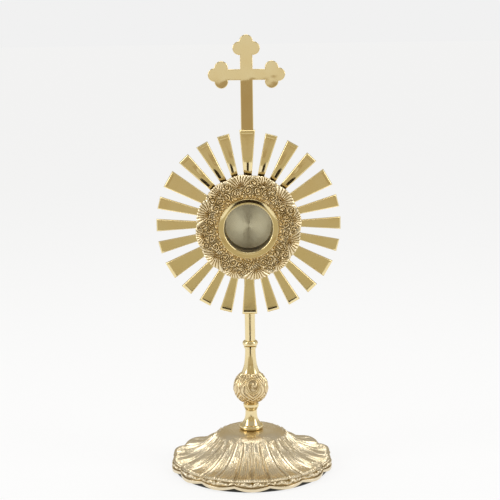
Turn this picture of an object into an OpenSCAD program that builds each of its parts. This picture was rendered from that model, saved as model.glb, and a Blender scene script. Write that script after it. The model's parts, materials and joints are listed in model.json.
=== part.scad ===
// Reliquary monstrance of cast brass: a fluted foot, a turned stem with a leaf knop, a glory of
// rays round an embossed wreath, a round glazed theca with a hinged back door, and a budded cross.
// Millimetres, +Z up. The front faces -Y and the origin is on the table, under the stem's axis.

/* [Foot] */
// Diameter across two opposite lobes of the rim
foot_d = 106; // [98:1:118]
// Height of the stem's seat above the felt
foot_h = 24; // [21:0.5:30]
// Diameter of the flat seat under the stem
seat_d = 18; // [17:0.5:20]
// Number of lobes round the rim
foot_lobes = 14; // [10:2:18]
// How far the notches between the lobes cut in
notch_depth = 2; // [1:0.25:3]
// Diameter of the plain centre, where the flutes begin
flute_start_d = 41; // [34:1:46]
// Fall from the seat to the start of the flutes
crown_fall = 1.1; // [0.8:0.1:3]
// Half height of the flutes' waves
flute_relief = 0.7; // [0.4:0.1:2]
// Height of the two ribs along the line between two lobes
rib_h = 1; // [0.4:0.1:1.4]
// Half width of each rib at its foot
rib_w = 0.7; // [0.4:0.1:0.8]
// Distance of each rib's crest from that line
rib_side = 1.1; // [0.9:0.1:1.4]
// Height of the broad rib along the middle of each lobe
mid_rib_h = 0.6; // [0.2:0.1:1]
// Height of the rim's raised border above the felt
rim_h = 7; // [5.5:0.1:9]
// Width of the rim's raised border
border_w = 2.6; // [2:0.1:5]
// How far the border stands above the end of the flutes
border_rise = 0.5; // [0.2:0.1:1.5]
// Width of the flat land under the rim
rim_land = 7; // [5:0.5:9]
// Thickness of the cast wall under the flutes
foot_wall = 2.2; // [1.8:0.1:3]
// Thickness of the metal under the seat
crown_t = 4; // [3:0.25:6]
// Thickness of the felt ring under the rim
felt_t = 1.5; // [1:0.1:3]
// How far the felt stays back from both edges of the land
felt_inset = 0.5; // [0.2:0.1:1]

/* [Stem] */
// Height of the trumpet pedestal
pedestal_h = 17.3; // [15:0.1:22]
// Diameter of the ring at the pedestal's foot
ring_d = 15.8; // [14.5:0.1:17]
// Height of that ring
ring_h = 3.3; // [2.5:0.1:4.5]
// Diameter of the trumpet where it leaves the ring
trumpet_d = 13; // [10:0.1:14]
// Diameter of the pedestal's waist
waist_d = 7.6; // [6:0.1:8.4]
// Height of the waist above the seat
waist_h = 11.5; // [9:0.1:12.5]
// Diameter of the cup under the knop
cup_d = 10; // [9.4:0.1:12]
// Height of that cup
cup_h = 3.2; // [2:0.1:3.6]
// Diameter of the flat on which the knop sits
knop_seat_d = 9; // [8:0.1:9.3]
// Diameter of the knop
knop_d = 23.2; // [20:0.1:27]
// Number of leaves round the knop
knop_leaves = 8; // [6:1:12]
// How deep the lines between the leaves are cut
knop_relief = 0.6; // [0.2:0.1:1]
// Height of the neck
neck_h = 16; // [12:0.1:22]
// Diameter of the neck where it stands on the knop
neck_foot_d = 11.5; // [10:0.1:13]
// Diameter of the neck at its top
neck_top_d = 6.8; // [6:0.1:8]
// Height of the bead's lower step
bead_step_h = 1.3; // [0.8:0.1:2]
// Diameter of the bead's lower step
bead_step_d = 8.2; // [7.5:0.1:9]
// Diameter of the bead
bead_d = 9.9; // [9.2:0.1:12]
// Height of the bead's round part
bead_round_h = 4; // [3:0.1:5]
// Diameter of the upper rod
rod_d = 6.6; // [6.2:0.1:8]
// Length of the upper rod that shows under the rays
rod_l = 18; // [14:0.5:26]
// Thickness of the lap behind the bottom ray
rod_lap_t = 3.4; // [2.6:0.1:4]

/* [Tie rod] */
// Diameter of the threaded tie rod
tie_d = 4; // [3:0.1:4.4]
// Length of the tie rod's grip in the upper rod
tie_grip = 12; // [8:0.5:16]
// Length of the tie rod below the nut
tie_tail = 2; // [1:0.5:4]
// Room round the tie rod in the stem's bores
tie_clear = 0.25; // [0.1:0.05:0.4]
// Diameter of the washer under the crown
washer_d = 14; // [10:0.5:16]
// Thickness of the washer
washer_t = 1; // [0.6:0.1:1.5]
// Width of the nut across its flats
nut_af = 7; // [6.5:0.1:8]
// Height of the nut
nut_h = 3.2; // [2.5:0.1:4]

/* [Rays] */
// Diameter of the glory
glory_d = 116.8; // [106:0.4:130]
// Width of a narrow ray at its outer end
narrow_w = 7.8; // [6:0.1:9]
// Width of a diagonal wide ray at its outer end
diagonal_w = 11.4; // [9:0.1:12.5]
// Width of the top and bottom rays at their outer ends
upright_w = 9.6; // [9:0.1:12]
// Thickness of the rays
ray_t = 2.8; // [2.2:0.1:4]
// Width of the bevel along the rays' front edges
ray_bevel = 0.6; // [0.4:0.1:1.2]
// Depth of that bevel
ray_bevel_h = 0.6; // [0.4:0.1:1.4]
// How much longer the top ray is, to carry the cross
top_ray_extra = 1.2; // [0:0.1:3]
// Diameter at which the rays' faces start to fall towards the hub
ray_root_d = 84; // [72:0.5:90]
// How far the rays' faces fall from there to the hub
root_fall = 2; // [1.4:0.1:2.1]
// Diameter of the plate's hub
hub_d = 54; // [48:0.5:56]
// Thickness of the plate's web behind the rays
web_t = 1.5; // [1:0.1:2.5]

/* [Wreath] */
// Diameter of the wreath across two opposite shells
wreath_d = 68.2; // [66:0.2:74]
// Number of large shells round the wreath, with a small one between every two
shell_count = 6; // [5:1:8]
// Turn of the first large shell anticlockwise from the top
shell_turn = 10; // [-30:1:30]
// Thickness of the wreath's lip and edge
lip_t = 2.4; // [1.6:0.1:3.2]
// Width of the plain lip beside the bezel
lip_w = 0.8; // [0.4:0.1:1.5]
// Rise of the wreath's domed face above its lip
wreath_rise = 2.2; // [1:0.1:3]
// Height of the shells and scrolls on the dome
wreath_relief = 1.3; // [0.5:0.1:2]
// How far the edge steps back between the shells
wreath_scallop = 1; // [0.4:0.1:1.5]

/* [Cross] */
// Height of the cross above the top ray
cross_h = 59.1; // [50:0.1:72]
// Span of the cross from bud to bud
cross_span = 48.2; // [40:0.1:56]
// Height of the arms' middle above the top ray
arm_z = 35; // [30:0.1:38]
// Width of the shaft
shaft_w = 7.8; // [6:0.1:9]
// Width of the arms
arm_w = 6.8; // [5:0.1:8]
// Radius of each round bud
bud_r = 4.2; // [3.6:0.1:4.8]
// Offset of the side buds from the arm's middle line
bud_side = 4.3; // [3.6:0.1:5]
// Distance of the side buds back from the end bud
bud_step = 4.2; // [3:0.1:5]
// Thickness of the cross
cross_t = 3.2; // [2.6:0.1:4.5]
// Bevel along the cross's front edges
cross_bevel = 0.5; // [0.3:0.1:1.4]
// Width of the tang behind the top ray
tang_w = 5; // [4:0.1:6]
// Thickness of the tang
tang_t = 1.8; // [1.2:0.1:2.4]
// Length of the tang
tang_l = 18; // [14:0.5:20]

/* [Theca] */
// How far the theca and the wreath sit below the middle of the rays
theca_drop = 1.8; // [0:0.1:2.4]
// Diameter of the visible window
window_d = 30.7; // [27:0.1:34]
// Width of the bezel ring
bezel_w = 3.9; // [3.4:0.1:5]
// Thickness of the bezel's threaded skirt
skirt_t = 1.3; // [0.9:0.1:1.8]
// Thickness of the bezel's outer lip in front of the glass
bezel_lip_t = 1.8; // [1.4:0.1:2.6]
// Width of that lip's front
bezel_lip_w = 0.5; // [0.3:0.1:0.9]
// Width of the flat ring beside the window
window_ring_w = 1.6; // [1.1:0.1:1.9]
// Rounding of that ring's inner edge
window_round = 0.3; // [0.1:0.05:0.5]
// How far the bezel's face falls from the lip to the flat ring
funnel_fall = 0.5; // [0.3:0.05:0.8]
// Thickness of the glass
glass_t = 1.8; // [1:0.1:2.5]
// Thickness of the seal ring behind the glass
seal_t = 0.5; // [0.3:0.1:1]
// How far the case's neck stands out of the wreath's lip
neck_out = 0.8; // [0.4:0.1:2]
// Wall of the case
case_wall = 2.1; // [1.6:0.1:2.8]
// Step from the case's neck to its body
body_step = 3; // [2:0.1:4]
// Depth of the case behind the plate
case_depth = 8; // [7:0.1:14]
// Thickness of the flange at the back of the case
flange_t = 1.8; // [1.2:0.1:2.6]
// Room round the case's neck in the plate and the wreath
neck_clear = 0.1; // [0.05:0.05:0.3]

/* [Door] */
// Diameter of the back door
door_d = 39; // [37:0.1:44]
// Thickness of the door
door_t = 1.6; // [1.2:0.1:2.4]
// Gap between the closed door and the flange
door_gap = 0.1; // [0.05:0.05:0.3]
// Width of the turned step round the door's back
door_step_w = 2.4; // [1.5:0.1:4]
// Depth of that step
door_step_h = 0.5; // [0.2:0.1:0.8]
// Length of the door's spigot
spigot_l = 3.3; // [2:0.1:4]
// Wall of the spigot
spigot_wall = 1.4; // [1:0.1:2]
// Room round the spigot for the door to swing
spigot_clear = 0.9; // [0.9:0.05:1.4]
// Thickness of the relic plate on the spigot
plate_t = 0.8; // [0.5:0.1:1.2]
// Offset of the knob from the door's middle
knob_x = 8.5; // [4:0.1:9]
// Diameter of the knob's ball
knob_d = 4; // [3:0.1:4.4]
// Diameter of the knob's foot
knob_foot_d = 4.4; // [3.6:0.1:4.8]
// Height of the knob's foot
knob_foot_h = 0.6; // [0.4:0.1:1]
// Diameter of the knob's neck
knob_neck_d = 2; // [1.4:0.1:2.6]
// Height of the knob
knob_h = 5.4; // [5:0.1:7]

/* [Hinge] */
// Outer diameter of the knuckles
knuckle_d = 3.4; // [2.8:0.1:4]
// Diameter of the hinge pin
pin_d = 1.6; // [1:0.1:1.8]
// Room round the pin in the door's knuckle
pin_clear = 0.06; // [0.02:0.01:0.1]
// Length of the whole hinge
hinge_l = 14; // [11:0.1:15]
// Length of the door's knuckle
mid_knuckle_l = 5.6; // [4:0.1:6.5]
// Gap between neighbouring knuckles
knuckle_gap = 0.3; // [0.15:0.05:0.5]
// How far the pin stands out of the knuckles
pin_out = 0.4; // [0.2:0.1:1]
// Gap between the door's edge and the knuckles
hinge_gap = 1.4; // [0.8:0.1:2.5]
// Width of the fixed leaf beside the knuckles
leaf_w = 3.2; // [2.6:0.1:4.5]
// Thickness of the hinge leaves
leaf_t = 1; // [0.6:0.1:1.4]
// Reach of the door's leaf over the door
door_leaf_reach = 8; // [5:0.5:9]
// Width of the flange outside the fixed leaf
flange_margin = 1.2; // [0.8:0.1:3]

/* [Latch] */
// Diameter of the latch's boss on the flange
boss_d = 4.4; // [4:0.1:5]
// Gap between the door's edge and the boss
latch_gap = 1.2; // [0.8:0.1:2]
// Height of the turn button above the door
button_over = 0.4; // [0.3:0.1:1]
// Thickness of the turn button
button_t = 1.4; // [1:0.1:2]
// Distance from the turn button's pivot to its tip's centre
button_l = 7.5; // [6:0.1:8]
// Diameter of the turn button round its pivot
button_d = 4.6; // [4.2:0.1:5]
// Diameter of the turn button's tip
button_tip_d = 3; // [2.2:0.1:3.4]
// Gap between the turn button, its boss and the screw's head
button_gap = 0.1; // [0.05:0.05:0.2]
// Diameter of the shoulder screw's shank
button_screw_d = 2; // [1.6:0.1:2.4]
// Diameter of the shoulder screw's head
button_head_d = 3.8; // [3:0.1:4.2]
// Height of the shoulder screw's head
button_head_h = 1; // [0.7:0.1:1.5]
// Depth of the shoulder screw in the boss
button_screw_in = 1.6; // [1.2:0.1:2]

/* [Fasteners] */
// Diameter of the lap screws' shanks
lap_screw_d = 2.4; // [2:0.1:2.8]
// Diameter of the lap screws' heads
lap_head_d = 4.4; // [3.6:0.1:5]
// Height of the lap screws' heads
lap_head_h = 1.4; // [1:0.1:2]
// Distance of the two lap screws from the ends of the lap
lap_screw_edge = 5.5; // [4:0.1:8]
// Diameter of the tang's rivets
rivet_d = 1.8; // [1.4:0.1:2.2]
// Diameter of the rivets' heads
rivet_head_d = 3.2; // [2.6:0.1:4]
// Height of the rivets' heads
rivet_head_h = 0.8; // [0.5:0.1:1.2]
// Distance of the two rivets from the ends of the tang
rivet_edge = 4; // [3:0.1:6]
// Depth of screws and rivets in the back of the rays
ray_hole = 1.5; // [1:0.1:1.6]

/* [Hidden] */
$fn = 96;

brass = "#c8a558";
pale_brass = "#d6bd84";
satin_brass = "#a39672";
steel = "#9a9a96";
felt_green = "#2e3a33";
clear_glass = "#dfe6e4";

// Sides of a hexagon
hex = 6;
// Overlap that lets a cut pass cleanly through a face
past = 1;

// Heights of the stacked pieces above the table
seat_z = felt_t + foot_h;
knop_z = seat_z + pedestal_h;
knop_r = knop_d / 2;
knop_below = sqrt(pow(knop_r, 2) - pow(knop_seat_d / 2, 2));
knop_above = sqrt(pow(knop_r, 2) - pow(neck_foot_d / 2, 2));
knop_h = knop_below + knop_above;
neck_z = knop_z + knop_h;
bead_z = neck_z + neck_h;
bead_h = bead_step_h + bead_round_h;
rod_z = bead_z + bead_h;
lap_z = rod_z + rod_l;
glory_r = glory_d / 2;
glory_z = lap_z + glory_r;
theca_z = glory_z - theca_drop;
top_ray_r = glory_r + top_ray_extra;
stem_bore = tie_d + 2 * tie_clear;
crown_z = seat_z - crown_t;
nut_z = crown_z - washer_t - nut_h;

// Forward distances from the back of the ray plate
ray_front = web_t + ray_t;
lip_front = ray_front + lip_t;
neck_front = lip_front + neck_out;
seal_front = neck_front + seal_t;
glass_front = seal_front + glass_t;
bezel_front = glass_front + bezel_lip_t;

// Radii of the theca, from the window outwards
window_r = window_d / 2;
bezel_r = window_r + bezel_w;
case_neck_r = bezel_r - skirt_t;
bore_r = case_neck_r - case_wall;
body_r = case_neck_r + body_step;
hole_r = case_neck_r + neck_clear;
lip_r = bezel_r + lip_w;
wreath_r = wreath_d / 2;
// The web's edge stays hidden behind the wreath
web_hide = 0.6;
web_r = wreath_r - wreath_scallop - theca_drop - web_hide;
hub_r = hub_d / 2;

// The door, its hinge and its latch, all behind the ray plate
door_r = door_d / 2;
knuckle_r = knuckle_d / 2;
hinge_x = door_r + hinge_gap + knuckle_r;
flange_r = hinge_x + leaf_w + flange_margin;
flange_back = case_depth;
door_front = flange_back + door_gap;
door_back = door_front + door_t;
hinge_back = door_front + knuckle_r;
spigot_r = bore_r - spigot_clear;
boss_r = boss_d / 2;
latch_x = door_r + latch_gap + boss_r;
boss_back = door_back + button_over - button_gap;
button_front = boss_back + button_gap;
button_back = button_front + button_t;
head_front = button_back + button_gap;

// The laps behind the bottom and top rays
lap_l = glory_r - web_r - neck_clear;
cross_back = web_t - tang_t;
cross_front = cross_back + cross_t;

// Rays in order clockwise from the top, with equal gaps between them
RAYS_PER_WIDE = 4;
ray_count = 24;
UPRIGHT_EVERY = ray_count / 2;
function ray_kind(i) =
    i % UPRIGHT_EVERY == 0 ? "upright" : i % RAYS_PER_WIDE == 0 ? "diagonal" : "narrow";
function ray_w(i) =
    ray_kind(i) == "upright" ? upright_w : ray_kind(i) == "diagonal" ? diagonal_w : narrow_w;
function ray_angle_w(i) = 2 * atan(ray_w(i) / 2 / glory_r);
function sum_to(n, i = 0) = i >= n ? 0 : ray_angle_w(i) + sum_to(n, i + 1);
ray_gap = (360 - sum_to(ray_count)) / ray_count;
function ray_turn(i) = sum_to(i) - ray_angle_w(0) / 2 + ray_angle_w(i) / 2 + i * ray_gap;

function ease(t) = t * t * (3 - 2 * t);
function clamp01(t) = max(0, min(1, t));
function bezier(a, b, c, d, t) =
    pow(1 - t, 3) * a + 3 * pow(1 - t, 2) * t * b + 3 * (1 - t) * t * t * c + pow(t, 3) * d;
function curve(a, b, c, d, n = 14) = [for (i = [0:n]) bezier(a, b, c, d, i / n)];
function arc(centre, r, from, to, n = 16) =
    [for (i = [0:n]) let (a = from + (to - from) * i / n) centre + r * [cos(a), sin(a)]];

// Triangles between stacked rings of n points, the first ring lowest on the outside
function band(i, k, n) = [
    for (j = [0:n - 1])
        let (p = i * n + j, q = i * n + (j + 1) % n, u = k * n + j, v = k * n + (j + 1) % n)
            each [[p, u, v], [p, v, q]]
];

// A solid between rings, closed by a flat face at both ends
module loft(rings) {
    n = len(rings[0]);
    last = len(rings) - 1;
    polyhedron(
        points = [for (ring = rings) each ring],
        faces = [
            for (i = [0:last - 1]) each band(i, i + 1, n),
            [for (j = [0:n - 1]) j],
            [for (j = [n - 1:-1:0]) last * n + j]
        ],
        convexity = 10
    );
}

// A ring-shaped solid whose section runs through all the rings and back to the first
module ring_loft(rings) {
    n = len(rings[0]);
    count = len(rings);
    polyhedron(
        points = [for (ring = rings) each ring],
        faces = [for (i = [0:count - 1]) each band(i, (i + 1) % count, n)],
        convexity = 10
    );
}

// The glory's own frame: x to the right, y up, z forward from the back of the ray plate
module glory() {
    translate([0, 0, glory_z]) rotate([90, 0, 0]) children();
}

// The theca's own frame: like the glory's, but in the middle of the window
module theca() {
    translate([0, 0, theca_z]) rotate([90, 0, 0]) children();
}

// A turned piece in the glory's frame, its profile given as radius and forward distance
module turned(profile) {
    rotate_extrude() polygon(profile);
}

// A cylinder that runs backwards from a forward distance
module backward(from, to, r) {
    translate([0, 0, -to]) cylinder(r = r, h = to - from);
}

// Foot

lobe_half = 180 / foot_lobes;
flute_start_r = flute_start_d / 2;
flute_start_z = seat_z - crown_fall;
flute_end_z = felt_t + rim_h - border_rise;
// Share of a flute's length over which it rises out of the plain centre
FLUTE_LEAD = 0.35;
// Under 1 the flutes bulge on their way to the rim, over 1 they run hollow
FLUTE_HOLLOW = 2.1;
// Share of that length over which the ribs rise, and share of their height that is lost at the rim
RIB_LEAD = 0.12;
RIB_FADE = 0.5;
// Rings of the casting: shares of the flutes' length from the rim, and of the way over the crown
FLUTE_RINGS = [1, 0.85, 0.7, 0.55, 0.4, 0.28, 0.18, 0.09, 0];
CROWN_RINGS = [0.5, 1];
// Rings of the border: share of its width inwards, of its height, and of the flutes' waves
BORDER_RINGS = [[0, 0.45, 0], [0.08, 0.85, 0.4], [0.4, 1, 0.8], [0.75, 0.98, 0.9]];
// How far the rim draws in at its toe
rim_toe = 0.8;
mouth_r = foot_d / 2 - notch_depth - rim_land;
// Least height of the hollow's mouth
mouth_lip = 0.4;

// Angle of a length along a circle, and the length of an angle
function angle_of(l, r) = l / r * 180 / PI;
function length_of(a, r) = a * PI / 180 * r;
// The foot's functions take an angle from the middle of the nearest lobe
function lobe(a) = cos(foot_lobes * a / 2);
function wave(a) = flute_relief * (2 * lobe(a) - 1);
function beside_rib(side, r) = lobe_half - angle_of(rib_side + side, r);
// Half the angle that the middle rib takes
function mid_rib(r) = beside_rib(rib_w, r) / 3;
function rib(a, r) =
    rib_h * max(0, 1 - abs(length_of(lobe_half - abs(a), r) - rib_side) / rib_w)
    + mid_rib_h * max(0, 1 - abs(a) / mid_rib(r));
function edge_r(a) = foot_d / 2 - notch_depth * (1 - lobe(a));
function border_r(a) = edge_r(a) - border_w;
function flute_r(a, s) = flute_start_r + (border_r(a) - flute_start_r) * s;
function flute_z(s) =
    flute_end_z + (flute_start_z - flute_end_z) * pow(1 - s, FLUTE_HOLLOW);
function flute_swell(s) = ease(clamp01(s / FLUTE_LEAD));
function rib_swell(s) = ease(clamp01(s / RIB_LEAD)) * (1 - RIB_FADE * s);
// Angles of a ring's points over one lobe, so that the points follow both ribs
function lobe_angles(r) =
    let (foot = beside_rib(rib_w, r), crest = beside_rib(0, r), inner = beside_rib(-rib_w, r))
    let (side = [mid_rib(r), (mid_rib(r) + foot) / 2, foot, crest, inner])
        [-lobe_half, for (i = [len(side) - 1:-1:0]) -side[i], 0, each side];
function foot_ring(r, f) = [
    for (k = [0:foot_lobes - 1], a = lobe_angles(r))
        let (turn = 2 * lobe_half * k - 90 + a, p = f(a)) [p.x * cos(turn), p.x * sin(turn), p.y]
];
function flute_ring(s) = foot_ring(flute_r(0, s), function(a) [
    flute_r(a, s),
    flute_z(s) + wave(a) * flute_swell(s) + rib(a, flute_r(0, s)) * rib_swell(s)
]);
function border_ring(back, up, share) = foot_ring(foot_d / 2, function(a) [
    edge_r(a) - border_w * back,
    felt_t + rim_h * up + wave(a) * share
]);
function crown_ring(t) = foot_ring(flute_start_r, function(a) [
    flute_start_r + (seat_d / 2 - flute_start_r) * t,
    flute_start_z + crown_fall * (1 - pow(1 - t, 2))
]);

module foot_hollow() {
    n = 10;
    roof = [
        for (i = [0:n])
            let (r = mouth_r + (flute_start_r - mouth_r) * i / n)
            let (s = (r - flute_start_r) / (border_r(lobe_half) - flute_start_r))
                [r, max(felt_t + mouth_lip, flute_z(s) - flute_relief * flute_swell(s) - foot_wall)]
    ];
    rotate_extrude()
        polygon(concat(
            [[0, -past], [mouth_r, -past]],
            roof,
            [[seat_d / 2, crown_z], [0, crown_z]]
        ));
}

module foot() {
    color(brass)
        difference() {
            loft([
                foot_ring(foot_d / 2, function(a) [edge_r(a) - rim_toe, felt_t]),
                for (p = BORDER_RINGS) border_ring(p[0], p[1], p[2]),
                for (s = FLUTE_RINGS) flute_ring(s),
                for (t = CROWN_RINGS) crown_ring(t)
            ]);
            foot_hollow();
            translate([0, 0, crown_z - past]) cylinder(d = stem_bore, h = crown_t + 2 * past);
        }
}

module foot_felt() {
    color(felt_green)
        difference() {
            cylinder(r = mouth_r + rim_land - felt_inset, h = felt_t);
            translate([0, 0, -past]) cylinder(r = mouth_r + felt_inset, h = felt_t + 2 * past);
        }
}

module foot_washer() {
    color(steel)
        translate([0, 0, crown_z - washer_t])
            difference() {
                cylinder(d = washer_d, h = washer_t);
                translate([0, 0, -past]) cylinder(d = stem_bore, h = washer_t + 2 * past);
            }
}

module foot_nut() {
    color(steel)
        translate([0, 0, nut_z])
            difference() {
                cylinder(d = nut_af / cos(180 / hex), h = nut_h, $fn = hex);
                translate([0, 0, -past]) cylinder(d = tie_d, h = nut_h + 2 * past);
            }
}

module tie_rod() {
    low = nut_z - tie_tail;
    color(steel) translate([0, 0, low]) cylinder(d = tie_d, h = rod_z + tie_grip - low);
}

// Stem

// A turned stem piece bored for the tie rod, its profile given from the bore's foot to its top
module stem_piece(z, h, profile) {
    bore_wall = stem_bore / 2;
    translate([0, 0, z])
        rotate_extrude() polygon(concat([[bore_wall, 0]], profile, [[bore_wall, h]]));
}

module pedestal() {
    ring_round = ring_h / 2;
    cup_low = pedestal_h - cup_h;
    cup_seat = cup_d / 2 - knop_seat_d / 2;
    rise = waist_h - ring_h;
    color(pale_brass)
        stem_piece(seat_z, pedestal_h, concat(
            arc([ring_d / 2 - ring_round, ring_round], ring_round, -90, 90),
            curve(
                [trumpet_d / 2, ring_h], [trumpet_d / 2 - rise / 4, ring_h + rise / 3],
                [waist_d / 2, waist_h - rise / 2], [waist_d / 2, waist_h]
            ),
            curve(
                [waist_d / 2, waist_h], [waist_d / 2, cup_low], [cup_d / 2, cup_low],
                [cup_d / 2, pedestal_h - cup_h / 2]
            ),
            [[cup_d / 2, pedestal_h - cup_seat], [knop_seat_d / 2, pedestal_h]]
        ));
}

module knop() {
    steps = knop_leaves * 8;
    ring_count = 14;
    low = -asin(knop_below / knop_r);
    high = asin(knop_above / knop_r);
    rings = [
        for (k = [0:ring_count])
            let (t = k / ring_count, up = low + (high - low) * t)
                [
                    for (i = [0:steps - 1])
                        let (a = 360 * i / steps)
                        let (leaf = sqrt(abs(cos(knop_leaves * (a + 90) / 2))))
                        let (r = knop_r * cos(up) - knop_relief * (1 - leaf) * sin(180 * t))
                            [r * cos(a), r * sin(a), knop_below + knop_r * sin(up)]
                ]
    ];
    color(pale_brass)
        translate([0, 0, knop_z])
            difference() {
                loft(rings);
                translate([0, 0, -past]) cylinder(d = stem_bore, h = knop_h + 2 * past);
            }
}

module neck() {
    color(pale_brass)
        stem_piece(neck_z, neck_h, curve(
            [neck_foot_d / 2, 0], [neck_top_d / 2 + (neck_foot_d - neck_top_d) / 6, neck_h / 4],
            [neck_top_d / 2, neck_h / 2], [neck_top_d / 2, neck_h]
        ));
}

module bead() {
    round_r = bead_round_h / 2;
    color(pale_brass)
        stem_piece(bead_z, bead_h, concat(
            [[bead_step_d / 2, 0], [bead_step_d / 2, bead_step_h]],
            arc([bead_d / 2 - round_r, bead_step_h + round_r], round_r, -90, 90)
        ));
}

module stem_rod() {
    color(pale_brass)
        difference() {
            translate([0, 0, rod_z]) cylinder(d = rod_d, h = rod_l + lap_l);
            translate([0, 0, rod_z - past]) cylinder(d = tie_d, h = tie_grip + 2 * past);
            glory()
                translate([-rod_d, -glory_r, web_t]) cube([2 * rod_d, lap_l + past, rod_d]);
            glory()
                translate([-rod_d, -glory_r, web_t - rod_lap_t - rod_d])
                    cube([2 * rod_d, lap_l + past, rod_d]);
            at_lap_screws()
                backward(-web_t - past, rod_lap_t, lap_screw_d / 2);
        }
}

module at_lap_screws() {
    glory()
        for (y = [-glory_r + lap_screw_edge, -glory_r + lap_l - lap_screw_edge])
            translate([0, y, 0]) children();
}

module rod_screws() {
    back = rod_lap_t - web_t;
    color(steel)
        at_lap_screws()
            union() {
                backward(-web_t - ray_hole, back, lap_screw_d / 2);
                backward(back, back + lap_head_h, lap_head_d / 2);
            }
}

// Glory

module ray_plate() {
    color(brass)
        difference() {
            glory()
                turned([
                    [0, 0], [web_r, 0], [web_r, web_t], [hub_r, web_t], [hub_r, ray_front], [0, ray_front]
                ]);
            theca() translate([0, 0, -past]) cylinder(r = hole_r, h = ray_front + 2 * past);
        }
}

// One ray, standing up from the hub, with its side edges on lines through the glory's centre.
// Its face is bevelled at the sides and the outer end, and falls gently to the root.
module ray(w_out, r_out = glory_r) {
    slope = w_out / 2 / glory_r;
    bevel_z = ray_front - ray_bevel_h;
    root_z = ray_front - root_fall;
    top = r_out - ray_bevel;
    root = ray_root_d / 2;
    back = [[1, hub_r, root_z], [1, r_out, bevel_z], [-1, r_out, bevel_z], [-1, hub_r, root_z]];
    front = [[1, root], [1, top], [-1, top], [-1, root]];
    loft([
        [for (p = back) [p.x * p.y * slope, p.y, web_t]],
        [for (p = back) [p.x * p.y * slope, p.y, p.z]],
        [for (p = front) [p.x * (p.y * slope - ray_bevel), p.y, ray_front]]
    ]);
}

module at_ray(i) {
    glory() rotate([0, 0, -ray_turn(i)]) children();
}

module narrow_rays() {
    color(brass)
        for (i = [0:ray_count - 1])
            if (ray_kind(i) == "narrow") at_ray(i) ray(ray_w(i));
}

module wide_rays() {
    color(brass) {
        for (i = [0:ray_count - 1])
            if (ray_kind(i) == "diagonal") at_ray(i) ray(ray_w(i));
        difference() {
            at_ray(0) ray(upright_w, top_ray_r);
            at_rivets() backward(-web_t - ray_hole, past - web_t, rivet_d / 2);
        }
        difference() {
            at_ray(UPRIGHT_EVERY) ray(upright_w);
            at_lap_screws() backward(-web_t - ray_hole, past - web_t, lap_screw_d / 2);
        }
    }
}

// Wreath

// Points round the wreath over one large shell's pitch
SHELL_STEPS = 36;
wreath_steps = shell_count * SHELL_STEPS;
shell_pitch = 360 / shell_count;
wreath_w = wreath_r - lip_r;
// Rings of the face, as shares of the way from the lip to the edge
FACE_RINGS = [0.95, 0.86, 0.76, 0.66, 0.56, 0.46, 0.38, 0.3, 0.22, 0.12, 0];
// Under 1 the dome of the face is full, at 1 it is an even arch
DOME_FULL = 0.8;
// Ribs on a large and on a small shell, and the angle over which a shell fans out
LARGE_RIBS = 5;
SMALL_RIBS = 3;
SHELL_SPAN = 140;
// Depth of the grooves between the ribs, and fall of a shell at its edge, as shares of its height
RIB_GROOVE = 0.55;
SHELL_FALL = 0.4;
// Share of a shell's length over which it rises out of its root
SHELL_LEAD = 0.5;
// Places of the shells' roots, the rosettes' eyes and the beads, as shares of the way from lip to edge
LARGE_ROOT = 0.36;
SMALL_ROOT = 0.52;
ROSETTE_EYE = 0.32;
BEAD_PLACE = 0.12;
// Sizes of the rosettes and the beads as shares of that way, and the turns of a rosette's coil
ROSETTE_SIZE = 0.24;
BEAD_SIZE = 0.1;
ROSETTE_TURNS = 1.5;
// Fall of a rosette from its eye to its edge, as a share of its height
ROSETTE_FALL = 0.4;
// Place of the rosettes beside a large shell, as a share of the shells' pitch
ROSETTE_SIDE = 0.2;

function place(share) = lip_r + wreath_w * share;
function wreath_edge(a) =
    wreath_r - wreath_scallop * (1 - abs(cos(shell_count * (a - 90 - shell_turn))));
// Angle from the nearest large shell
function shell_angle(a) =
    let (b = (a - 90 - shell_turn) / shell_pitch + 0.5) (b - floor(b) - 0.5) * shell_pitch;
// Place of a point as seen from another point on the wreath
function seen_from(r, u, share) = [r * sin(u), r * cos(u) - place(share)];
function shell_h(r, u, root, ribs) =
    let (p = seen_from(r, u, root), turn = atan2(p.x, p.y))
    let (reach = norm(p) / (wreath_r - place(root)))
        abs(turn) > SHELL_SPAN / 2 ? 0 :
            (1 - RIB_GROOVE * (1 - abs(cos(turn * 180 * ribs / SHELL_SPAN))))
            * ease(clamp01(reach / SHELL_LEAD)) * (1 - SHELL_FALL * clamp01(reach));
function rosette_h(r, u) =
    let (p = seen_from(r, abs(u) - ROSETTE_SIDE * shell_pitch, ROSETTE_EYE))
    let (reach = norm(p) / (ROSETTE_SIZE * wreath_w))
        reach > 1 ? 0 : (1 + cos(360 * ROSETTE_TURNS * reach)) / 2 * (1 - ROSETTE_FALL * reach);
function bead_h_at(r, u) =
    let (reach = norm(seen_from(r, u, BEAD_PLACE)) / (BEAD_SIZE * wreath_w)) 1 - clamp01(reach * reach);
function wreath_h(r, a) =
    let (u = shell_angle(a), v = shell_pitch / 2 - abs(u), s = clamp01((r - lip_r) / wreath_w))
        lip_front + wreath_rise * pow(sin(180 * s), DOME_FULL)
        + wreath_relief * max(
            shell_h(r, u, LARGE_ROOT, LARGE_RIBS), shell_h(r, v, SMALL_ROOT, SMALL_RIBS),
            rosette_h(r, u), bead_h_at(r, u), bead_h_at(r, v)
        );
function wreath_ring(f) = [
    for (i = [0:wreath_steps - 1])
        let (a = 360 * i / wreath_steps, p = f(a)) [p.x * cos(a), p.x * sin(a), p.y]
];
function wreath_face(s) = wreath_ring(
    function(a) let (r = lip_r + (wreath_edge(a) - lip_r) * s) [r, wreath_h(r, a)]
);

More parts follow.
